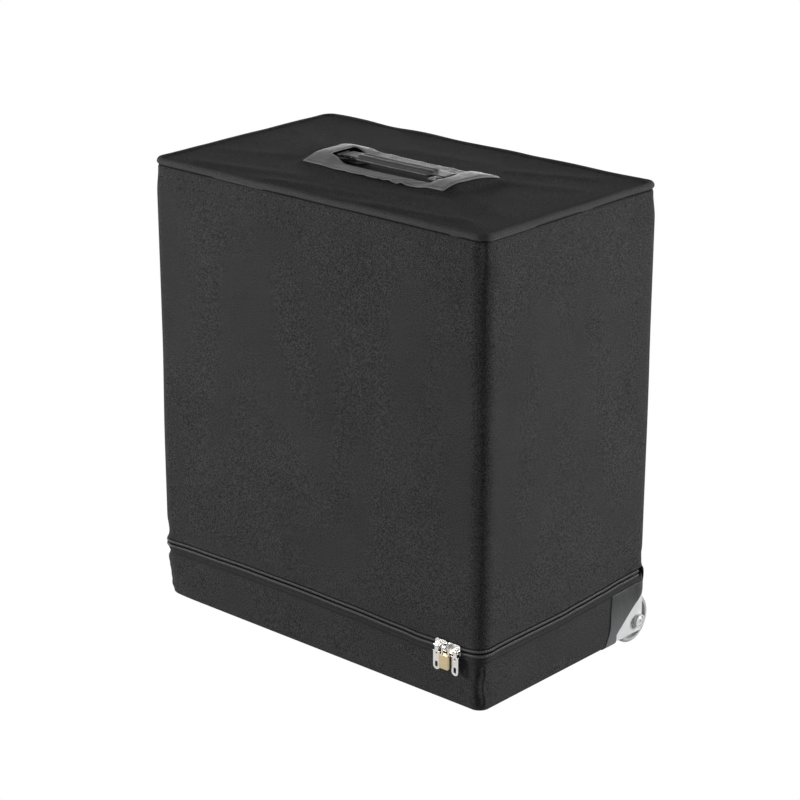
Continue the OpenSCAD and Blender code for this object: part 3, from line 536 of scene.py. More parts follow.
@dataclass(frozen=True)
class PlywoodFinish:
    """Birch plywood, with a black-stained outside below the cover."""

    name: str = "birch_plywood"
    light: tuple = (0.60, 0.43, 0.26)
    dark: tuple = (0.40, 0.26, 0.13)
    stain: tuple = (0.012, 0.012, 0.013)

    def build(self) -> bpy.types.Material:
        """Makes the material."""
        s = Shader(self.name)
        grain = s.add("TexNoise", Vector=s.object_point((14, 14, 260)), Scale=1.0, Detail=5.0,
                      Distortion=0.6).outputs["Fac"]
        fine = s.add("TexNoise", Vector=s.object_point((90, 90, 1900)), Scale=1.0,
                     Detail=3.0).outputs["Fac"]
        tone = s.math("ADD", s.math("MULTIPLY", s.ramp(grain, 0.3, 0.7), 0.65),
                      s.math("MULTIPLY", fine, 0.35))
        colour = s.mix(tone, self.dark, self.light)
        at = s.add("SeparateXYZ", Vector=s.add("TexCoord").outputs["Object"])
        limits = (CASE.width / 2 - 9.5, CASE.depth / 2 - 9.5)
        sides = s.math("GREATER_THAN", s.math("ABSOLUTE", at.outputs[0]), limits[0] / 1000)
        along = s.math("ABSOLUTE", s.math("SUBTRACT", at.outputs[1], CASE.centre_y / 1000))
        ends = s.math("GREATER_THAN", along, limits[1] / 1000)
        over = s.math("GREATER_THAN", at.outputs[2], (CASE.underside + CASE.height - 2.3) / 1000)
        colour = s.mix(s.math("MAXIMUM", s.math("MAXIMUM", sides, ends), over), colour, self.stain)
        return s.surface(Base_Color=colour, Roughness=0.6, Normal=s.bump(fine, 0.0001, 0.4))


class Finishes:
    """Every material of the case, made once."""

    def __init__(self) -> None:
        self.cover = FabricFinish("cover_nylon", (0.008, 0.008, 0.0085), (0.084, 0.084, 0.085),
                                  welt=True).build()
        self.tape = FabricFinish("zip_tape", (0.018, 0.018, 0.019), (0.036, 0.036, 0.037),
                                 pitch=0.0007, sheen=0.1).build()
        self.coil = PlasticFinish("zip_coil", (0.034, 0.034, 0.035), roughness=0.42, grain=1500).build()
        self.leatherette = LeatheretteFinish("leatherette_grey", (0.15, 0.15, 0.152),
                                             (0.25, 0.25, 0.253), roughness=0.34).build()
        # The patch gets painted floor bounce light low down
        self.patch = LeatheretteFinish("leatherette_patch", (0.026, 0.027, 0.027),
                                       (0.037, 0.038, 0.039), roughness=0.5, shine=0.28,
                                       bounce_lit_below=(CASE.underside + 55) / 1000).build()
        self.grip = LeatheretteFinish("leatherette_grip", (0.020, 0.020, 0.021),
                                      (0.034, 0.034, 0.035), roughness=0.3).build()
        self.thread = FabricFinish("thread", (0.02, 0.02, 0.02), (0.06, 0.06, 0.06),
                                   pitch=0.0004).build()
        self.sewing = FabricFinish("zip_sewing", (0.10, 0.10, 0.10), (0.20, 0.20, 0.20),
                                   pitch=0.0004).build()
        self.lining = PlushFinish("lining_plush", (0.030, 0.030, 0.034), (0.085, 0.085, 0.092)).build()
        self.steel = MetalFinish("zinc_steel", (0.62, 0.62, 0.63), roughness=0.34, edge=0.0002).build()
        self.chrome = MetalFinish("nickel", (0.88, 0.87, 0.85), roughness=0.24, edge=0.0002).build()
        self.brass = MetalFinish("brushed_brass", (0.70, 0.56, 0.34), roughness=0.33,
                                 brush=(60, 60, 2600), edge=0.0004).build()
        self.enamel = PlasticFinish("black_enamel", (0.02, 0.02, 0.02), roughness=0.28,
                                    grain=300).build()
        self.pole = MetalFinish("satin_aluminium", (0.66, 0.66, 0.67), roughness=0.32,
                                brush=(1400, 1400, 12), edge=0.0002).build()
        self.housing = PlasticFinish("housing_grey", (0.74, 0.75, 0.75), roughness=0.36).build()
        self.core = PlasticFinish("wheel_core", (0.50, 0.51, 0.52), roughness=0.4).build()
        self.tyre = PlasticFinish("tyre_urethane", (0.40, 0.41, 0.42), roughness=0.3, through=0.35,
                                  grain=400).build()
        self.black = PlasticFinish("black_moulding", (0.022, 0.022, 0.023), roughness=0.48).build()
        self.button = PlasticFinish("grey_button", (0.18, 0.18, 0.19), roughness=0.3).build()
        self.rubber = PlasticFinish("foot_rubber", (0.018, 0.018, 0.018), roughness=0.7,
                                    relief=0.0001).build()
        self.plywood = PlywoodFinish().build()

    def dress_nodes(self) -> None:
        """Gives every CAD node that stays visible its material."""
        choices = {
            self.plywood: ["base_floor", "base_front_rail", "base_rear_rail", "base_left_rail",
                           "base_right_rail",
                           "hood_front_panel", "hood_rear_panel", "hood_left_panel",
                           "hood_right_panel", "hood_top_panel"],
            self.housing: ["wheel_housing_left", "wheel_housing_right"],
            self.core: ["wheel_core_left", "wheel_core_right"],
            self.tyre: ["wheel_tyre_left", "wheel_tyre_right"],
            self.steel: ["axle_nuts", "foot_screws", "hinge_base_leaf", "hinge_hood_leaf",
                         "hinge_pin", "handle_bolts",
                         "handle_backing_plate", "pole_screws", "wheel_bearings_left",
                         "wheel_bearings_right"],
            self.chrome: ["axle_bolt_left", "axle_bolt_right", "zip_slider_left",
                          "zip_slider_right", "zip_pull_left",
                          "zip_pull_right", "padlock_shackle"],
            self.enamel: ["handle_ring_left", "handle_ring_right", "handle_chape_left",
                          "handle_chape_right"],
            self.rubber: ["front_feet"],
            self.pole: ["pole_outer_tubes", "pole_middle_tubes", "pole_inner_tubes"],
            self.black: ["pole_foot_bracket", "pole_collar", "pole_grip"],
            self.button: ["pole_button"],
            self.brass: ["padlock_body", "padlock_key_plug"],
        }
        for material, nodes in choices.items():
            for node in nodes:
                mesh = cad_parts[node].data
                mesh.materials.clear()
                mesh.materials.append(material)


# --------------------------------------------------------------------------- building


class Part:
    """One visible piece: a mesh made in the case's millimetres and then put in the row frame."""

    def __init__(self, name: str, body: str, slot: str, material: bpy.types.Material,
                 replaces: Iterable[str] = ()) -> None:
        self.name = name
        self.body = body
        self.slot = slot
        self.material = material
        self.replaces = tuple(replaces)

    def finish(self, bm: bmesh.types.BMesh, ride: bool = True) -> bpy.types.Object:
        """Turns a bmesh into the piece's object.

        Args:
            bm: The shape in the case's millimetres. It is used up.
            ride: Whether the piece simply moves with its body.

        Returns:
            The new object.
        """
        bmesh.ops.recalc_face_normals(bm, faces=bm.faces[:])
        bmesh.ops.transform(bm, matrix=CASE.to_row(), verts=bm.verts[:])
        for face in bm.faces:
            face.smooth = True
        mesh = bpy.data.meshes.new(self.name)
        bm.to_mesh(mesh)
        bm.free()
        mesh.materials.append(self.material)
        obj = bpy.data.objects.new(self.name, mesh)
        bpy.context.scene.collection.objects.link(obj)
        if ride:
            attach(obj, self.body)
        if self.replaces:
            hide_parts(*self.replaces)
        log.info("%s: %d faces", self.name, len(mesh.polygons))
        return obj


def grid(bm: bmesh.types.BMesh, columns: int, rows: int,
         place: Callable[[float, float], Vector]) -> list:
    """Adds a grid and puts each of its points where a function says.

    Args:
        bm: The mesh to add to.
        columns: Cells along u.
        rows: Cells along v.
        place: Gives the point for u and v, both from 0 to 1.

    Returns:
        The new vertices.
    """
    verts = bmesh.ops.create_grid(bm, x_segments=columns, y_segments=rows, size=0.5)["verts"]
    for vert in verts:
        vert.co = place(vert.co.x + 0.5, vert.co.y + 0.5)
    return verts


def weld(bm: bmesh.types.BMesh, distance: float = 0.01) -> None:
    """Joins points that lie on each other."""
    bmesh.ops.remove_doubles(bm, verts=bm.verts[:], dist=distance)


def thicken(bm: bmesh.types.BMesh, thickness: float) -> None:
    """Gives a skin a thickness, to the side that its normals point away from."""
    bmesh.ops.solidify(bm, geom=bm.faces[:], thickness=thickness)


def slice_at(bm: bmesh.types.BMesh, planes: Iterable[tuple]) -> None:
    """Cuts new edges into a skin along planes, each given by a point and a normal."""
    for point, across in planes:
        everything = bm.verts[:] + bm.edges[:] + bm.faces[:]
        bmesh.ops.bisect_plane(bm, geom=everything, plane_co=point, plane_no=across)


def drop_faces(bm: bmesh.types.BMesh, where: Callable[[Vector], bool]) -> None:
    """Deletes the faces whose middle passes a test."""
    drop = [face for face in bm.faces if where(face.calc_center_median())]
    bmesh.ops.delete(bm, geom=drop, context="FACES")


class Tub:
    """A rounded tub: a flat end, and walls that are drawn from its rim ring by ring."""

    corner_cells = 5

    def __init__(self, plan: Outline, pitch: float) -> None:
        self.plan = plan
        self.pitch = pitch

    def _axis(self, t: float, cells: int, half: float, inset: float) -> float:
        """Spreads grid lines so that each corner arc gets its own cells."""
        k = t * cells
        radius = self.plan.radius
        middle = cells - 2 * self.corner_cells
        if k < self.corner_cells:
            run = -half + inset + k / self.corner_cells * (radius - inset)
        elif k > cells - self.corner_cells:
            run = half - inset - (cells - k) / self.corner_cells * (radius - inset)
        else:
            run = -half + radius + (k - self.corner_cells) / middle * 2 * (half - radius)
        return run

    def build(self, rings: Sequence[tuple],
              keep: Callable[[Vector], bool] | None = None) -> bmesh.types.BMesh:
        """Draws the tub.

        Args:
            rings: Pairs of inset and height, from the flat end to the open rim. An inset below 0
                bulges out.
            keep: Tells which faces of the flat end stay.

        Returns:
            The mesh.
        """
        bm = bmesh.new()
        plan, inset, height = self.plan, rings[0][0], rings[0][1]
        nx = round(2 * plan.arc_x / self.pitch) + 2 * self.corner_cells
        ny = round(2 * plan.arc_y / self.pitch) + 2 * self.corner_cells

        def place(u: float, v: float) -> Vector:
            x = self._axis(u, nx, plan.half_x, inset)
            y = self._axis(v, ny, plan.half_y, inset)
            a, b = abs(x) - plan.arc_x, abs(y) - plan.arc_y
            if a > 1e-6 and b > 1e-6:
                pull = max(a, b) / math.hypot(a, b)
                x = math.copysign(plan.arc_x + a * pull, x)
                y = math.copysign(plan.arc_y + b * pull, y)
            return Vector((x, y, height))

        grid(bm, nx, ny, place)
        rim = [edge for edge in bm.edges if edge.is_boundary]
        for low, high in zip(rings, rings[1:]):
            step = low[0] - high[0]
            new = bmesh.ops.extrude_edge_only(bm, edges=rim)["geom"]
            rim = [g for g in new if isinstance(g, bmesh.types.BMEdge)]
            for vert in (g for g in new if isinstance(g, bmesh.types.BMVert)):
                vert.co += plan.normal(vert.co.x, vert.co.y) * step
                vert.co.z = high[1]
        if keep:
            drop_faces(bm, lambda at: abs(at.z - height) < 1e-3 and not keep(at))
        return bm


def spaced(start: float, end: float, pitch: float) -> list:
    """Even steps from start to end, both included, about a pitch apart."""
    count = max(1, round(abs(end - start) / pitch))
    return [start + (end - start) * i / count for i in range(count + 1)]


# --------------------------------------------------------------------------- top slot


@dataclass(frozen=True)
class SlotSize:
    """The slot in the top and the leatherette frame round it, in millimetres."""

    left: float = -104.5
    right: float = 113.5
    front: float = -44.0
    rear: float = 41.5
    skew: float = 8.0
    slot_length: float = 170.0
    slot_width: float = 40.0
    slot_radius: float = 4.0
    middle_y: float = -3.0
    thickness: float = 1.2

    def end(self, v: float) -> float:
        """Where the frame's right end lies, which is sewn on askew."""
        return self.right - self.skew * (self.rear - v) / (self.rear - self.front)

    def lift(self, x: float, y: float) -> float:
        """How far the fabric and the frame stand above the flat top, over the handle's brackets."""
        v = y - self.middle_y
        left = 9.2 * hump(x, -90, 22, 4) * hump(v, 2, 38, 4)
        right = 9.0 * hump(x, 96, 22, 4) * hump(v, -2, 42, 4)
        edge = 1 - smooth(40, 62, abs(v))
        ends = 1 - smooth(108, 134, abs(x))
        sag = -0.8 * hump(x, 0, 55) * hump(v, 0, 30)
        return (left + right) * edge * ends + sag

    def puckers(self, x: float, y: float) -> float:
        """Small puckers that the sewing leaves in the frame's borders."""
        v = y - self.middle_y
        front = smooth(-18, -34, v)
        total = 0.0
        for at, height, width, slant in ((18, 1.0, 3.2, 0.5), (36, 1.5, 3.8, 0.8),
                                         (47, -0.9, 2.6, 0.7), (57, 1.7, 4.0, 0.9),
                                         (-8, 0.6, 3.5, 0.3), (-46, 0.5, 4.0, -0.4)):
            total += height * hump(x - slant * (v + 30), at, width) * front
        rear = smooth(18, 32, v)
        for at, height, width in ((-38, 0.7, 5.0), (5, 0.4, 6.0), (52, 0.8, 4.0)):
            total += height * hump(x + 0.5 * (v - 30), at, width) * rear
        return total


SLOT = SlotSize()


class SlotFrame:
    """The leatherette frame that is sewn round the handle's slot and pulled up over its brackets."""

    pitch = 1.6

    def __init__(self, finishes: Finishes, size: SlotSize = SLOT) -> None:
        self.size = size
        self.finishes = finishes

    def _inside_slot(self, point: Vector) -> bool:
        """Whether a point lies in the slot with its rounded corners."""
        s = self.size
        radius = s.slot_radius
        a = abs(point.x) - (s.slot_length / 2 - radius)
        b = abs(point.y - s.middle_y) - (s.slot_width / 2 - radius)
        if a <= 0 or b <= 0:
            return max(a, b) < radius
        return math.hypot(a, b) < radius

    def build(self) -> None:
        """Makes the frame and its row of stitches."""
        s = self.size
        bm = bmesh.new()
        width = s.rear - s.front

        def place(u: float, v: float) -> Vector:
            across = s.front + v * width
            return Vector((s.left + u * (s.end(across) - s.left), across + s.middle_y, 0))

        grid(bm, round((s.right - s.left) / self.pitch), round(width / self.pitch), place)
        drop_faces(bm, self._inside_slot)
        for vert in bm.verts:
            x, y = vert.co.x, vert.co.y
            inner = max(abs(x) - s.slot_length / 2, abs(y - s.middle_y) - s.slot_width / 2)
            roll = -1.0 * (1 - smooth(0, 3.0, inner))
            soft = 0.35 * ripple(x * 0.05, y * 0.09, 3.1)
            pucker = s.puckers(x, y) * smooth(0, 6, inner)
            vert.co.z = CASE.height + 0.5 + s.lift(x, y) + pucker + roll + soft
        for face in bm.faces:
            if face.normal.z < 0:
                face.normal_flip()
        thicken(bm, -s.thickness)
        Part("slot_frame_leather", "hood", "leatherette", self.finishes.leatherette,
             ["slot_frame"]).finish(bm)
        self._stitches()

    def _stitches(self) -> None:
        """Sews the frame down: short stitches a few millimetres in from its outer edge."""
        s = self.size
        bm = bmesh.new()
        inset, pitch = 3.2, 4.4
        left, front, rear = s.left + inset, s.front + inset, s.rear - inset
        runs = []
        for v in (front, rear):
            runs += [(x, v, 0.0) for x in spaced(left + pitch / 2, s.end(v) - inset - pitch / 2, pitch)]
        for v in spaced(front + pitch / 2, rear - pitch / 2, pitch):
            runs += [(left, v, math.pi / 2), (s.end(v) - inset, v, math.pi / 2)]
        for x, v, turn in runs:
            y = v + s.middle_y
            z = CASE.height + 0.5 + s.thickness + s.lift(x, y) + s.puckers(x, y) + 0.05
            turned = Matrix.Translation((x, y, z)) @ Matrix.Rotation(turn, 4, "Z")
            place = turned @ Matrix.Diagonal((1.55, 0.34, 0.26, 1))
            bmesh.ops.create_icosphere(bm, subdivisions=1, radius=1.0, matrix=place)
        Part("slot_frame_stitches", "hood", "leatherette", self.finishes.thread).finish(bm)


# --------------------------------------------------------------------------- covers


class HoodCover:
    """The tall fabric cover of the hood, with its rolled welt, tuck, folds and wavy hem."""

    top_folds = (
        Fold((-205, -122), (-60, -92), 1.3, 9), Fold((-90, -126), (60, -104), 1.6, 8),
        Fold((-20, -96), (120, -70), 0.9, 10),
        Fold((60, -128), (205, -112), 1.5, 7), Fold((150, -96), (226, -124), 1.1, 8),
        Fold((20, -84), (-90, -62), -0.8, 11),
        Fold((-215, 60), (-130, 20), 1.1, 13), Fold((-130, -30), (-225, -64), 1.0, 12),
        Fold((118, 34), (205, 62), 1.0, 12),
        Fold((120, -30), (214, -70), 0.9, 11), Fold((-60, 70), (60, 84), 0.8, 12),
        Fold((90, 74), (190, 112), 1.2, 10),
    )
    wall_folds = (
        Fold((-170, 120), (-120, 420), 0.5, 26), Fold((-40, 480), (30, 180), 0.7, 34),
        Fold((110, 140), (150, 470), 0.5, 30),
        Fold((300, 150), (330, 460), 0.5, 30), Fold((420, 440), (470, 170), 0.6, 26),
        Fold((-330, 200), (-400, 440), 0.6, 30),
        Fold((80, 92), (190, 84), 0.8, 8), Fold((-210, 96), (-120, 86), 0.7, 8),
        Fold((262, 512), (280, 470), 1.0, 9),
        Fold((226, 505), (222, 430), -0.7, 8), Fold((360, 92), (440, 98), 0.7, 8),
    )

    def __init__(self, finishes: Finishes) -> None:
        self.finishes = finishes

    @staticmethod
    def _rings() -> list:
        """Insets and heights from the flat top to the hem."""
        top, seam = CASE.height, CASE.seam
        rings = [(9.6, top), (9.0, top), (8.2, top - 0.5), (7.2, top - 0.8), (6.2, top),
                 (5.0, top + 1.1), (3.2, top + 1.6)]
        rings += [(1.4, top + 1.1), (0.2, top), (-0.7, top - 1.6), (-1.0, top - 3.1),
                  (-0.6, top - 4.5), (0.3, top - 5.5)]
        rings += [(1.9, top - 6.1), (1.9, top - 6.9), (0.9, top - 7.8), (0.3, top - 9.2),
                  (0.0, top - 11)]
        rings += [(0.0, z) for z in spaced(top - 14, seam + 16, 4.0)]
        hem = seam + 5.2
        rings += [(-0.2, hem + 8), (-0.5, hem + 5.5), (-0.9, hem + 3.6), (-1.5, hem + 1.9),
                  (-1.75, hem + 0.9), (-1.5, hem + 0.2),
                  (-0.9, hem - 0.1), (-0.1, hem + 0.2), (0.6, hem + 1.2)]
        return rings

    def _shape(self, co: Vector) -> Vector:
        """Where a point of the smooth cover goes once the cloth is folded and sewn."""
        top, seam = CASE.height, CASE.seam
        out = PLAN.normal(co.x, co.y)
        run = PLAN.station(co.x, co.y)
        move = Vector((0, 0, 0))
        if co.z > top - 1.0 and max(abs(co.x) - PLAN.half_x, abs(co.y) - PLAN.half_y) < -8.5:
            edge = -max(abs(co.x) - PLAN.half_x, abs(co.y) - PLAN.half_y) - 8.5
            rise = sum(fold.at(co.x, co.y) for fold in self.top_folds)
            rise += 0.9 * ripple(co.x * 0.011, co.y * 0.02, 0.4)
            move.z += rise * smooth(0, 14, edge) + SLOT.lift(co.x, co.y) - 0.35
            return move
        roll = smooth(top - 12, top - 4, co.z)
        if roll:
            # The edge wanders as a sewn edge does, most along the rear
            wander = ripple(co.x * 0.016, co.y * 0.016, 0.2)
            rear = smooth(90, 140, co.y)
            move.z += roll * ((0.6 + 0.6 * rear) * wander + 0.4 * rear * math.sin(co.x * 0.055))
            move += out * roll * 0.5 * ripple(co.x * 0.03, co.y * 0.03, 0.9)
        height = smooth(seam + 10, seam + 60, co.z)
        body = smooth(top - 6, top - 16, co.z)
        push = sum(fold.at(run, co.z) for fold in self.wall_folds)
        push += 1.0 * ripple(co.x * 0.006, co.y * 0.006 + 5.0, co.z * 0.004)
        move += out * (push * height * body + self._padding(run, co.z))
        flare = smooth(330, top, co.z)
        if co.x > 0:
            move += Vector((2.6 * flare * smooth(90, 140, co.y) * smooth(20, 200, co.x),
                            1.6 * flare * smooth(120, 240, co.x) * smooth(100, 140, co.y), 0))
        move += self._tuck(co, out, run)
        # The hem follows the sewn zip
        follow = 1 - smooth(seam + 8, seam + 70, co.z)
        move.z += WAVE.at(run) * follow
        corner = hump(abs(run), PLAN.front_corner, 16) + hump(abs(run), PLAN.rear_corner - 12, 12)
        move += out * (1.6 * corner * (1 - smooth(seam + 6, seam + 26, co.z)))
        return move

    @staticmethod
    def _padding(run: float, z: float) -> float:
        """How far the padded cloth stands off the plywood."""
        low_left = hump(run, -PLAN.front_corner, 34) * (1 - smooth(190, 330, z))
        high_right = hump(run, PLAN.rear_corner, 46) * hump(z, 350, 150)
        full = 2.3 + 1.5 * low_left + 1.9 * high_right
        body = smooth(CASE.seam + 6, CASE.seam + 34, z) * smooth(CASE.height - 7, CASE.height - 40, z)
        return full * body

    @staticmethod
    def _tuck(co: Vector, out: Vector, run: float) -> Vector:
        """The gathered corner below the welt at the front right, and a flat band down that edge."""
        if run < 200 or run > 300:
            return Vector((0, 0, 0))
        below = CASE.height - co.z
        corner = PLAN.front_corner
        dent = -1.9 * hump(run, corner - 5, 4.5) * smooth(7, 14, below) * (1 - smooth(22, 60, below))
        lip = 1.6 * hump(run, corner + 4, 4.5) * smooth(6, 10, below) * (1 - smooth(16, 30, below))
        slanting = hump(run, corner + 6 + (below - 16) * 0.35, 2.4)
        fold = -1.4 * slanting * smooth(10, 15, below) * (1 - smooth(20, 34, below))
        groove = -0.5 * hump(run, corner - 6, 5) * smooth(20, 60, below) * (1 - smooth(380, 450, below))
        return out * (dent + lip + fold + groove)

    def build(self) -> None:
        """Makes the cover."""
        s = SLOT

        def keep(at: Vector) -> bool:
            return abs(at.x) > s.slot_length / 2 + 4 or abs(at.y - s.middle_y) > s.slot_width / 2 + 4

        bm = Tub(PLAN, 4.0).build(self._rings(), keep)
        for vert in bm.verts:
            vert.co += self._shape(vert.co)
        Part("hood_fabric", "hood", "cover", self.finishes.cover, ["hood_cover"]).finish(bm)


class TrayCover:
    """The low fabric cover of the tray, rounded below and pinched at its front corners."""

    folds = (
        Fold((-230, 18), (-190, 40), 0.9, 7), Fold((-60, 12), (40, 8), 0.5, 6),
        Fold((120, 46), (214, 40), 0.7, 6),
        Fold((222, 52), (205, 24), -0.7, 6), Fold((262, 44), (300, 30), 0.8, 6),
        Fold((330, 12), (410, 9), 0.6, 6),
        Fold((-262, 40), (-300, 20), 0.8, 7),
    )

    def __init__(self, finishes: Finishes) -> None:
        self.finishes = finishes

    @staticmethod
    def _rings() -> list:
        """Insets and heights from the underside to the rim below the zip."""
        radius, seam = CASE.low_radius, CASE.seam
        rings = [(12.0, 0.0), (9.0, 0.0), (radius, 0.0)]
        for i in range(1, 7):
            turn = i / 6 * math.pi / 2
            rings.append((radius - radius * math.sin(turn), radius - radius * math.cos(turn)))
        rings += [(0.0, z) for z in spaced(radius + 2.5, seam - 10, 2.5)]
        rings += [(0.25, seam - 8.4), (0.9, seam - 7.4), (1.6, seam - 7.0)]
        return rings

    def _shape(self, co: Vector) -> Vector:
        """Where a point of the smooth cover goes once the cloth is folded and sewn."""
        out = PLAN.normal(co.x, co.y)
        run = PLAN.station(co.x, co.y)
        if co.z < 0.01:
            return Vector((0, 0, 0.3 + 0.25 * ripple(co.x * 0.02, co.y * 0.02, 2.0)))
        rim = CASE.seam - 10
        height = smooth(1, 12, co.z) * (1 - smooth(rim - 8, rim, co.z))
        push = sum(fold.at(run, co.z) for fold in self.folds)
        push += 0.45 * ripple(co.x * 0.012, co.y * 0.012 + 9.0, co.z * 0.03)
        for corner, sharp in ((PLAN.arc_x + PLAN.quarter * 0.62, 1.0),
                              (-PLAN.arc_x - PLAN.quarter * 0.55, 0.7)):
            bend = 1.2 * math.sin(co.z * 0.16)
            span = smooth(3, 12, co.z) * (1 - smooth(rim - 10, rim, co.z))
            ridge = 3.3 * hump(run, corner + bend, 1.9, 1.6) - 1.6 * hump(run, corner + bend - 5.0, 3.2)
            push += sharp * ridge * span
        lean = hump(run, -PLAN.front_corner, 22) * (3.2 * smooth(8, rim, co.z) - 1.5)
        ledge = 0.35 * smooth(rim - 6.5, rim - 5.5, co.z - WAVE.at(run) * 0.9) - lean
        move = out * (push * height - ledge + self.rear_point(run, co.z))
        move.z += WAVE.at(run) * smooth(12, rim, co.z) * 0.95
        return move

    @staticmethod
    def rear_point(run: float, z: float) -> float:
        """How far the stiff seams under the zip's ends pull the cloth out at the rear corners."""
        return 3.6 * hump(abs(run), PLAN.rear_corner, 13) * smooth(CASE.seam - 34, CASE.seam - 14, z)

    def build(self) -> None:
        """Makes the cover and cuts it out round the wheels."""
        bm = Tub(PLAN, 4.0).build(self._rings())
        for vert in bm.verts:
            vert.co += self._shape(vert.co)
        CUT.apply(bm)
        Part("tray_fabric", "base", "cover", self.finishes.cover, ["base_cover"]).finish(bm)


@dataclass(frozen=True)
class WheelCut:
    """The slanting cut-out that leaves the wheel housings open, in millimetres."""

    inner_x: float
    start_y: float
    top: float
    start_z: float = 12.5
    rise: float = 0.81

    @classmethod
    def from_frame(cls) -> "WheelCut":
        """Reads the cut's place from the box of the housing that it leaves open.

        Returns:
            The cut.
        """
        low, high = CASE.local("wheel_housing_right")
        return cls(inner_x=low.x - 0.3, start_y=low.y - 0.3, top=high.z + 0.3)

    @property
    def rear_y(self) -> float:
        """Where the tray's rear face begins, which is open behind the wheels."""
        return CASE.depth / 2 - 3.5

    def apply(self, bm: bmesh.types.BMesh, grow: float = 0.0) -> None:
        """Cuts a skin along the slant and round the wheels, and takes away what lies behind.

        Args:
            bm: The skin.
            grow: How far the cut's edge moves forwards.
        """
        tilt = math.atan(self.rise)
        slant = Vector((0, -math.sin(tilt), math.cos(tilt)))
        start = Vector((0, self.start_y - grow, self.start_z))
        slice_at(bm, ((start, slant), (start, AXIS_Y), (self.inner_x * AXIS_X, AXIS_X),
                      (-self.inner_x * AXIS_X, AXIS_X), (self.top * AXIS_Z, AXIS_Z)))

        def opened(at: Vector) -> bool:
            if abs(at.x) < self.inner_x or at.y < start.y:
                return False
            return (at - start).dot(slant) < 0 or (at.y > self.rear_y and at.z < self.top)

        drop_faces(bm, opened)


CUT = WheelCut.from_frame()


class WheelPatch:
    """The leatherette patch sewn over a rear bottom corner, cut slanting round the wheel."""

    def __init__(self, finishes: Finishes, side: Side) -> None:
        self.finishes = finishes
        self.side = side

    @staticmethod
    def _seam(z: float) -> float:
        """Where the curved front seam runs at a height."""
        forwards = 2.0 * (1 - smooth(18, 60, z)) + 10.0 * (1 - smooth(-4, 24, z))
        return 84.2 - forwards + 0.4 * math.sin(z * 0.11)

    def build(self) -> None:
        """Makes the patch, with its curved front seam."""
        side = float(self.side.value)
        bm = bmesh.new()
        edge, proud, rim = CASE.low_radius, 0.9, CASE.seam - 12.6
        last = PLAN.station(PLAN.half_x, PLAN.arc_y) + PLAN.quarter + 4.0
        shift = PLAN.arc_x + PLAN.quarter + PLAN.arc_y

        def place(u: float, v: float) -> Vector:
            z = v * (rim + 12) - 12
            low = self._seam(max(z, 0.0)) + shift
            run = low + u * (last - low)
            if z < 0:
                out, height = proud - edge + z, -0.7
            elif z < edge:
                turn = z / edge * math.pi / 2
                reach = edge + proud
                out, height = reach * math.sin(turn) - edge, edge - reach * math.cos(turn)
            else:
                out, height = proud, z
            wave = WAVE.at(side * run)
            if z > 0:
                height *= 1 + wave * 0.95 / rim
            out += TrayCover.rear_point(run, height)
            out += 0.25 * ripple(run * 0.05, z * 0.05, 4.0 * side)
            point = PLAN.place(side * run, out)
            point.z = height
            return point

        grid(bm, 44, 40, place)
        CUT.apply(bm, grow=1.0)
        bmesh.ops.recalc_face_normals(bm, faces=bm.faces[:])
        thicken(bm, 0.9)
        node = "wheel_patch_" + self.side.word
        Part(f"patch_leather_{self.side.word}", "base", "leatherette", self.finishes.patch,
             [node]).finish(bm)


# --------------------------------------------------------------------------- zip


@dataclass(frozen=True)
class ZipSize:
    """Sizes of the coil zip in millimetres; depths count outwards from the cover's face."""

    row_near: float = 0.6
    row_height: float = 4.2
    coil_in: float = -0.4
    coil_out: float = 3.3
    tooth: float = 2.1
    tape: float = 10.0
    last: float = PLAN.station(PLAN.half_x, PLAN.half_y - 18.0) + 1.0

    @property
    def first(self) -> float:
        """Where the zip begins, on the left."""
        return -self.last


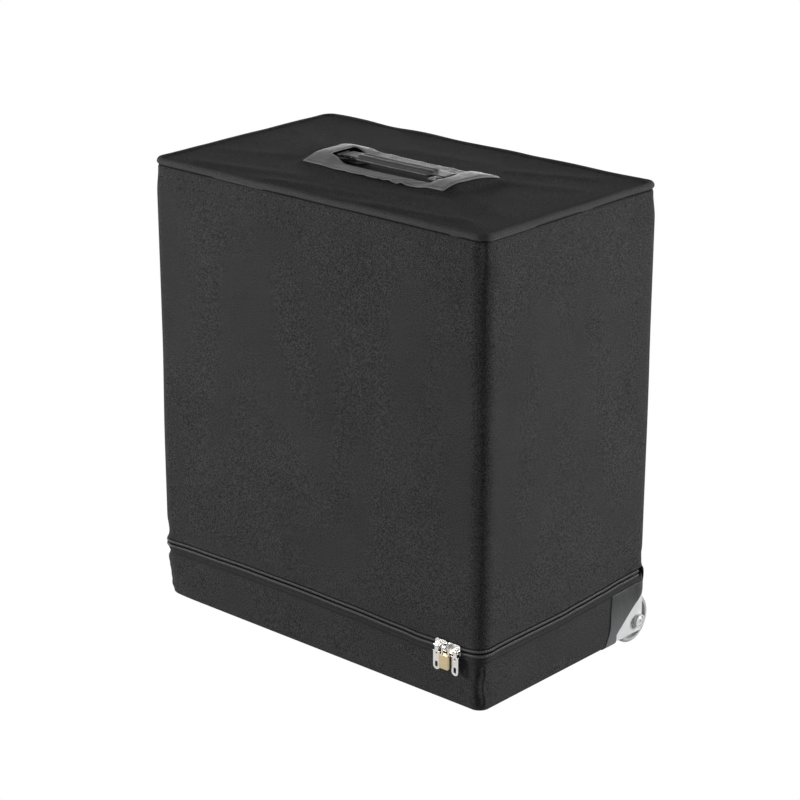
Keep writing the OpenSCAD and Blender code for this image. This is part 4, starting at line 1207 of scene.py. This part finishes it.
class ZipRow:
    """One half of the zip: a row of coil turns and the tape that they are sewn to."""

    def __init__(self, finishes: Finishes, upper: bool, size: ZipSize = ZipSize()) -> None:
        self.finishes = finishes
        self.upper = upper
        self.size = size

    def _coil(self) -> bmesh.types.BMesh:
        """The row of coil turns, as a rounded cord pinched between its turns."""
        s = self.size
        sign = 1.0 if self.upper else -1.0
        count = round((s.last - s.first) / s.tooth * 5)
        bm = bmesh.new()

        def place(u: float, v: float) -> Vector:
            run = s.first + u * (s.last - s.first)
            turn = v * 2 * math.pi
            pinch = abs(math.sin(math.pi * (run / s.tooth + 0.25 * sign)))
            swell = 0.62 + 0.38 * pinch ** 0.7
            middle = (s.coil_in + s.coil_out) / 2
            depth = middle + (s.coil_out - s.coil_in) / 2 * swell * math.cos(turn)
            lean = 1.0 + 0.06 * math.sin(math.pi * run / s.tooth)
            half = s.row_height / 2
            height = sign * (s.row_near + half) + half * swell * lean * math.sin(turn)
            point = PLAN.place(run, depth + self._bulge(run))
            point.z = CASE.seam + WAVE.at(run) + height
            return point

        grid(bm, count, 9, place)
        weld(bm, 0.001)
        return bm

    @staticmethod
    def _bulge(run: float) -> float:
        """How far the zip is pulled out round the corners."""
        return 1.8 * (hump(abs(run), PLAN.front_corner, 18) + hump(abs(run), PLAN.rear_corner - 12, 14))

    def _tape(self) -> bmesh.types.BMesh:
        """The woven tape from the coil to its stitched edge, with a ridge along the stitching."""
        s = self.size
        sign = 1.0 if self.upper else -1.0
        reach = s.tape if not self.upper else 5.0
        bm = bmesh.new()

        def place(u: float, v: float) -> Vector:
            run = s.first + u * (s.last - s.first)
            near = s.row_near + s.row_height - 0.6
            height = sign * (near + v * reach)
            out = 1.3 - 0.9 * smooth(0.45, 0.62, v) + 0.55 * hump(v, 0.9, 0.07)
            if self.upper:
                out = 0.3 - 0.5 * v
            out += 0.12 * ripple(run * 0.05, v * 2, 6.0)
            point = PLAN.place(run, out + self._bulge(run) * (1 - 0.7 * v))
            point.z = CASE.seam + WAVE.at(run) + height
            return point

        grid(bm, 420, 14 if not self.upper else 3, place)
        for face in bm.faces:
            face.normal_update()
        bmesh.ops.recalc_face_normals(bm, faces=bm.faces[:])
        thicken(bm, 0.5)
        return bm

    def _sewing(self) -> bmesh.types.BMesh:
        """The stitches along the middle of the coil turns."""
        s = self.size
        sign = 1.0 if self.upper else -1.0
        bm = bmesh.new()
        for run in spaced(s.first + 1, s.last - 1, s.tooth):
            point = PLAN.place(run, s.coil_out + self._bulge(run) - 0.1)
            out = PLAN.normal(point.x, point.y)
            point.z = CASE.seam + WAVE.at(run) + sign * (s.row_near + s.row_height / 2)
            turned = Matrix.Translation(point) @ Matrix.Rotation(math.atan2(out.y, out.x), 4, "Z")
            place = turned @ Matrix.Diagonal((0.3, 0.65, 0.5, 1))
            bmesh.ops.create_icosphere(bm, subdivisions=1, radius=1.0, matrix=place)
        return bm

    def build(self) -> None:
        """Makes the coil, its sewing and the tape."""
        word, body = ("upper", "hood") if self.upper else ("lower", "base")
        Part(f"zip_coil_{word}", body, "zip", self.finishes.coil, [f"zip_{word}"]).finish(self._coil())
        Part(f"zip_sewing_{word}", body, "zip", self.finishes.sewing).finish(self._sewing())
        Part(f"zip_tape_{word}", body, "zip", self.finishes.tape).finish(self._tape())


class HingeStrip:
    """The fabric strip that covers the rear hinge."""

    inset = 6.0
    below = 28.0
    above = 26.5
    stand_off = 1.3
    bulge = 5.4
    thickness = 0.8
    length_over_bulge = 0.058
    bend = 9.0

    def __init__(self, finishes: Finishes) -> None:
        self.finishes = finishes

    def build(self) -> None:
        """Makes the strip."""
        bm = bmesh.new()
        half, low, high = CASE.width / 2 - self.inset, CASE.seam - self.below, CASE.seam + self.above
        rear = CASE.depth / 2

        def place(u: float, v: float) -> Vector:
            x = (u - 0.5) * 2 * half
            z = low + v * (high - low)
            over = hump(z, CASE.seam, 11, 4)
            y = rear + self.stand_off + self.bulge * over + 0.3 * ripple(x * 0.02, z * 0.06, 8.0)
            y -= 0.5 * (hump(z, low + 2.5, 1.2) + hump(z, high - 2.5, 1.2))
            return Vector((x, y, z))

        grid(bm, 150, 36, place)
        bmesh.ops.recalc_face_normals(bm, faces=bm.faces[:])
        thicken(bm, self.thickness)
        strip = Part("hinge_strip", "hood", "cover", self.finishes.cover).finish(bm, ride=False)
        row = CASE.to_row()
        start, end = (row @ Vector((0, rear, CASE.seam + side * self.bend)) for side in (-1, 1))
        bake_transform(strip)
        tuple(start)
        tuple(end)


# --------------------------------------------------------------------------- handle


@dataclass(frozen=True)
class GripSize:
    """Sizes of the strap handle in millimetres."""

    half: float = 57.0
    width: float = 23.0
    low: float = -1.0
    thickness: float = 8.0
    end_round: float = 7.0
    bar_z: float = 543.6
    middle_y: float = -3.0
    tongue: float = 18.6
    tongue_reach: float = 25.2
    tongue_far: float = 75.0
    tongue_bend: float = 2.95
    tongue_thickness: float = 1.1


class StrapGrip:
    """The ribbed leatherette grip and the two tongues that loop round the rings."""

    def __init__(self, finishes: Finishes, size: GripSize = GripSize()) -> None:
        self.finishes = finishes
        self.size = size

    def _crown(self, across: float) -> float:
        """Height of the grip's top at a share of its half width, with two stitched grooves."""
        s = self.size
        crown = s.thickness * (0.62 + 0.38 * math.sqrt(max(0.0, 1 - across * across)))
        ribs = 0.9 * hump(across, -0.36, 0.13) + 0.9 * hump(across, 0.36, 0.13)
        grooves = 1.0 * (hump(across, -0.62, 0.07) + hump(across, 0.62, 0.07)
                         + hump(across, -0.12, 0.06) + hump(across, 0.12, 0.06))
        return crown - 0.9 + ribs - grooves

    def _body(self) -> bmesh.types.BMesh:
        """The padded middle of the grip, with its ends drawn in."""
        s = self.size
        bm = bmesh.new()

        def place(u: float, v: float) -> Vector:
            x = (u - 0.5) * 2 * s.half
            close = min(1.0, (s.half - abs(x)) / s.end_round)
            taper = math.sqrt(max(0.0, 1 - (1 - close) ** 2))
            turn = v * 2 * math.pi
            across = math.sin(turn)
            across = math.copysign(abs(across) ** 0.7, across)
            if math.cos(turn) > 0:
                rise = s.low + self._crown(across)
                edge = s.low + s.thickness * 0.42
                height = edge + (rise - edge) * abs(math.cos(turn)) ** 0.45
            else:
                edge = s.low + s.thickness * 0.42
                height = edge - (edge - s.low) * abs(math.cos(turn)) ** 0.4
            middle = s.low + s.thickness * 0.45
            height = middle + (height - middle) * (0.35 + 0.65 * taper) - 0.4 * hump(x, 0, 40)
            y = s.middle_y + s.width / 2 * across * (0.72 + 0.28 * taper)
            return Vector((x, y, s.bar_z + height))

        grid(bm, 110, 72, place)
        weld(bm, 0.001)
        for end in (-1, 1):
            rim = [e for e in bm.edges if e.is_boundary and e.verts[0].co.x * end > 0]
            bmesh.ops.holes_fill(bm, edges=rim, sides=0)
        return bm

    def _tongue(self, side: float) -> bmesh.types.BMesh:
        """A flat loop from the grip's end round the ring's inner bar and back."""
        s = self.size
        bm = bmesh.new()
        reach, bend, far = s.tongue_reach, s.tongue_bend, s.tongue_far

        def place(u: float, v: float) -> Vector:
            run = u * (2 * reach + math.pi * bend)
            if run < reach:
                x, z = far - reach + run, bend
            elif run < reach + math.pi * bend:
                turn = (run - reach) / bend
                x, z = far + bend * math.sin(turn), bend * math.cos(turn)
            else:
                x, z = far - (run - reach - math.pi * bend), -bend
            return Vector((side * x, s.middle_y + (v - 0.5) * s.tongue, s.bar_z + z))

        grid(bm, 46, 10, place)
        bm.normal_update()
        top = max(bm.faces, key=lambda face: face.calc_center_median().z)
        if top.normal.z > 0:
            # The thickness goes outwards, so that the ring's bar keeps its room in the loop
            bmesh.ops.reverse_faces(bm, faces=bm.faces[:])
        thicken(bm, s.tongue_thickness)
        return bm

    def build(self) -> None:
        """Makes the grip and its tongues."""
        Part("grip_leather", "grip", "grip", self.finishes.grip, ["handle_grip"]).finish(self._body())
        for side in Side:
            Part(f"grip_tongue_{side.word}", "grip", "grip",
                 self.finishes.grip).finish(self._tongue(float(side.value)))


# --------------------------------------------------------------------------- lining


class Lining:
    """The plush inside: the hood's padding, the liner boards of the tray and the floor pad."""

    wall = 10.2
    hood_radius = 13.0
    liner_radius = 5.0
    pad_gap = 15.0
    pad_low = 11.1
    pad_height = 13.5

    def __init__(self, finishes: Finishes) -> None:
        self.finishes = finishes

    def _hood(self) -> None:
        """The padded lining of the hood, open below."""
        outer = Outline(CASE.width / 2 - self.wall, CASE.depth / 2 - self.wall, self.hood_radius)
        top, low = CASE.height - 12.4, CASE.seam + 15.2
        tub = Tub(outer, 9.0)
        tub.corner_cells = 3
        rings = [(12.0, top - 3.8), (9.0, top - 4.0), (6.5, top - 5.5), (5.6, top - 8.5)]
        rings += [(5.5 - 0.7 * math.sin((z - low) * 0.05) ** 2, z)
                  for z in spaced(top - 12, low + 6, 9.0)]
        rings += [(5.3, low + 2.5), (4.3, low + 0.6), (2.8, low), (1.2, low + 0.4), (0.3, low + 2)]
        bm = tub.build(rings)
        Part("hood_lining", "hood", "lining", self.finishes.lining, ["hood_padding"]).finish(bm)

    def _liner(self) -> None:
        """The covered boards round the tray, with a rounded rim, cut away over the wheels."""
        outer = Outline(CASE.width / 2 - self.wall - 0.1, CASE.depth / 2 - self.wall - 0.1,
                        self.liner_radius)
        tub = Tub(outer, 9.0)
        tub.corner_cells = 2
        floor, rim, top = 11.2, CASE.seam - 0.8, CASE.seam + 12
        rings = [(4.2, floor)] + [(4.2, z) for z in spaced(floor + 6, top - 2, 6.0)]
        rings += [(3.7, top - 0.6), (2.9, top), (2.0, top - 0.2), (1.3, top - 1.6), (1.1, rim + 3),
                  (1.1, rim + 1), (0.3, rim - 1),
                  (0.3, rim - 6), (0.3, floor)]
        bm = tub.build(rings, keep=lambda at: False)
        self._notch(bm)
        Part("tray_lining", "base", "lining", self.finishes.lining, ["base_liner"]).finish(bm)

    @staticmethod
    def _notch(bm: bmesh.types.BMesh) -> None:
        """Takes away what lies in the rooms of the wheel housings."""
        x, y, z = CUT.inner_x - 0.2, CUT.start_y - 0.2, CUT.top + 0.1
        slice_at(bm, ((x * AXIS_X, AXIS_X), (-x * AXIS_X, AXIS_X), (y * AXIS_Y, AXIS_Y),
                      (z * AXIS_Z, AXIS_Z)))
        drop_faces(bm, lambda at: abs(at.x) > x and at.y > y and at.z < z)

    def _pad(self) -> None:
        """The floor pad: a crowned, channelled cushion that leaves room for the housings."""
        half_x, rear = CASE.width / 2 - self.pad_gap, CASE.depth / 2 - self.pad_gap
        notch_x, notch_y, front = CUT.inner_x - 1.6, CUT.start_y - 1.4, -rear
        low, high = self.pad_low, self.pad_low + self.pad_height
        bm = bmesh.new()

        def top_at(x: float, y: float) -> float:
            edge = min(half_x - abs(x), y - front, rear - y)
            inner = max(notch_x - abs(x), notch_y - y)
            edge = min(edge, max(inner, 0.0))
            crown = math.sqrt(max(0.0, 1 - (1 - min(edge / 7.0, 1.0)) ** 2))
            channel = sum(hump(y, at, 2.2) for at in (-78, -26, 26, 78))
            rise = (high - low - 2.0) * crown * (1 - 0.16 * channel)
            return low + 2.0 + rise + 0.3 * ripple(x * 0.02, y * 0.02, 1)

        grid(bm, 120, 80, lambda u, v: Vector(((u - 0.5) * 2 * half_x, front + v * (rear - front), 0)))
        slice_at(bm, ((notch_x * AXIS_X, AXIS_X), (-notch_x * AXIS_X, AXIS_X),
                      (notch_y * AXIS_Y, AXIS_Y)))
        drop_faces(bm, lambda at: abs(at.x) > notch_x and at.y > notch_y)
        for vert in bm.verts:
            vert.co.z = top_at(vert.co.x, vert.co.y)
        rim = [edge for edge in bm.edges if edge.is_boundary]
        new = bmesh.ops.extrude_edge_only(bm, edges=rim)["geom"]
        for vert in (g for g in new if isinstance(g, bmesh.types.BMVert)):
            vert.co.z = low
        bottom = [g for g in new if isinstance(g, bmesh.types.BMEdge)]
        bmesh.ops.holes_fill(bm, edges=bottom, sides=0)
        pad = Part("floor_pad", "base", "lining", self.finishes.lining, ["base_pad"]).finish(bm)

    def build(self) -> None:
        """Makes the lining."""
        self._hood()
        self._liner()
        self._pad()


# --------------------------------------------------------------------------- studio


@dataclass(frozen=True)
class SoftLight:
    """A square lamp that points at the case."""

    name: str
    place: tuple
    aim: tuple
    size: tuple
    watts: float

    def build(self) -> None:
        """Adds the lamp."""
        lamp = bpy.data.lights.new(self.name, "AREA")
        lamp.shape = "RECTANGLE"
        lamp.size, lamp.size_y = self.size
        lamp.energy = self.watts
        obj = bpy.data.objects.new(self.name, lamp)
        obj.location = self.place
        obj.rotation_euler = (Vector(self.aim) - Vector(self.place)).to_track_quat("-Z", "Y").to_euler()
        bpy.context.scene.collection.objects.link(obj)


@dataclass(frozen=True)
class CameraPlace:
    """The photograph's camera in the row frame, in metres and degrees."""

    place: tuple = (1.8740, -2.0846, 1.2835)
    down: float = 19.718
    turn: float = 42.023
    roll: float = -0.198
    focal: float = 115.97


class Studio:
    """Camera, lamps, floor and background."""

    lights = (
        SoftLight("right_rear", (2.3, 2.05, 0.85), (0.1, 0.0, 0.3), (1.3, 1.4), 92.0),
        SoftLight("left_front", (-2.2, -2.3, 0.85), (0.0, 0.0, 0.3), (1.3, 1.4), 89.0),
        SoftLight("left_rear", (-1.9, 2.3, 0.45), (0.0, 0.0, 0.3), (1.2, 0.8), 14.0),
    )

    room_light = 0.08
    reflected = 0.7

    def __init__(self, camera: CameraPlace = CameraPlace()) -> None:
        self.camera = camera

    def build(self) -> None:
        """Sets the stage."""
        scene = bpy.context.scene
        scene.view_settings.view_transform = "Standard"
        data = bpy.data.cameras.new("photo_camera")
        data.lens, data.sensor_width, data.clip_end = self.camera.focal, 36.0, 50.0
        obj = bpy.data.objects.new("photo_camera", data)
        c = self.camera
        turn = Matrix.Rotation(math.radians(c.turn), 4, "Z")
        tip = Matrix.Rotation(math.radians(90 - c.down), 4, "X")
        roll = Matrix.Rotation(math.radians(c.roll), 4, "Z")
        obj.matrix_world = Matrix.Translation(c.place) @ turn @ tip @ roll
        scene.collection.objects.link(obj)
        scene.camera = obj
        for light in self.lights:
            light.build()
        self._world(scene)
        self._floor()

    def _world(self, scene: bpy.types.Scene) -> None:
        """White for the camera, pale in reflections and a dim room for everything else."""
        world = bpy.data.worlds.new("room")
        scene.world = world
        world.use_nodes = True
        nodes, links = world.node_tree.nodes, world.node_tree.links
        nodes.clear()
        path = nodes.new("ShaderNodeLightPath")
        out = nodes.new("ShaderNodeOutputWorld")
        room = nodes.new("ShaderNodeBackground")
        room.inputs[0].default_value, room.inputs[1].default_value = (1, 1, 1, 1), self.room_light
        shown = room.outputs[0]
        for ray, strength in (("Is Glossy Ray", self.reflected), ("Is Camera Ray", 1.0)):
            seen, mixed = nodes.new("ShaderNodeBackground"), nodes.new("ShaderNodeMixShader")
            seen.inputs[0].default_value, seen.inputs[1].default_value = (1, 1, 1, 1), strength
            links.new(path.outputs[ray], mixed.inputs[0])
            links.new(shown, mixed.inputs[1])
            links.new(seen.outputs[0], mixed.inputs[2])
            shown = mixed.outputs[0]
        links.new(shown, out.inputs[0])

    def _floor(self) -> None:
        """A plain pale floor that reads as white to the camera and bright in reflections."""
        bm = bmesh.new()
        bmesh.ops.create_grid(bm, x_segments=1, y_segments=1, size=6.0)
        mesh = bpy.data.meshes.new("floor")
        bm.to_mesh(mesh)
        bm.free()
        floor = bpy.data.objects.new("floor", mesh)
        s = Shader("pale_floor")
        rays = s.add("LightPath").outputs
        path = s.math("MAXIMUM", rays["Is Camera Ray"],
                      s.math("MULTIPLY", rays["Is Glossy Ray"], self.reflected))
        white = s.add("Emission", Color=(1, 1, 1), Strength=1.0).outputs[0]
        pale = s.add("BsdfDiffuse", Color=(0.72, 0.72, 0.72)).outputs[0]
        mixed = s.add("MixShader", i0=path, i1=pale, i2=white).outputs[0]
        s.add("OutputMaterial", Surface=mixed)
        mesh.materials.append(s.material)
        bpy.context.scene.collection.objects.link(floor)


@dataclass
class AccordionCase:
    """The whole case: its materials and every piece that stands for a soft CAD node."""

    finishes: Finishes = field(default_factory=Finishes)

    def build(self) -> None:
        """Makes every piece."""
        self.finishes.dress_nodes()
        HoodCover(self.finishes).build()
        TrayCover(self.finishes).build()
        for upper in (True, False):
            ZipRow(self.finishes, upper).build()
        for side in Side:
            WheelPatch(self.finishes, side).build()
        HingeStrip(self.finishes).build()
        SlotFrame(self.finishes).build()
        StrapGrip(self.finishes).build()
        Lining(self.finishes).build()


def main() -> None:
    """Builds the scene."""
    Studio().build()
    AccordionCase().build()


if __name__ == "__main__":
    main()
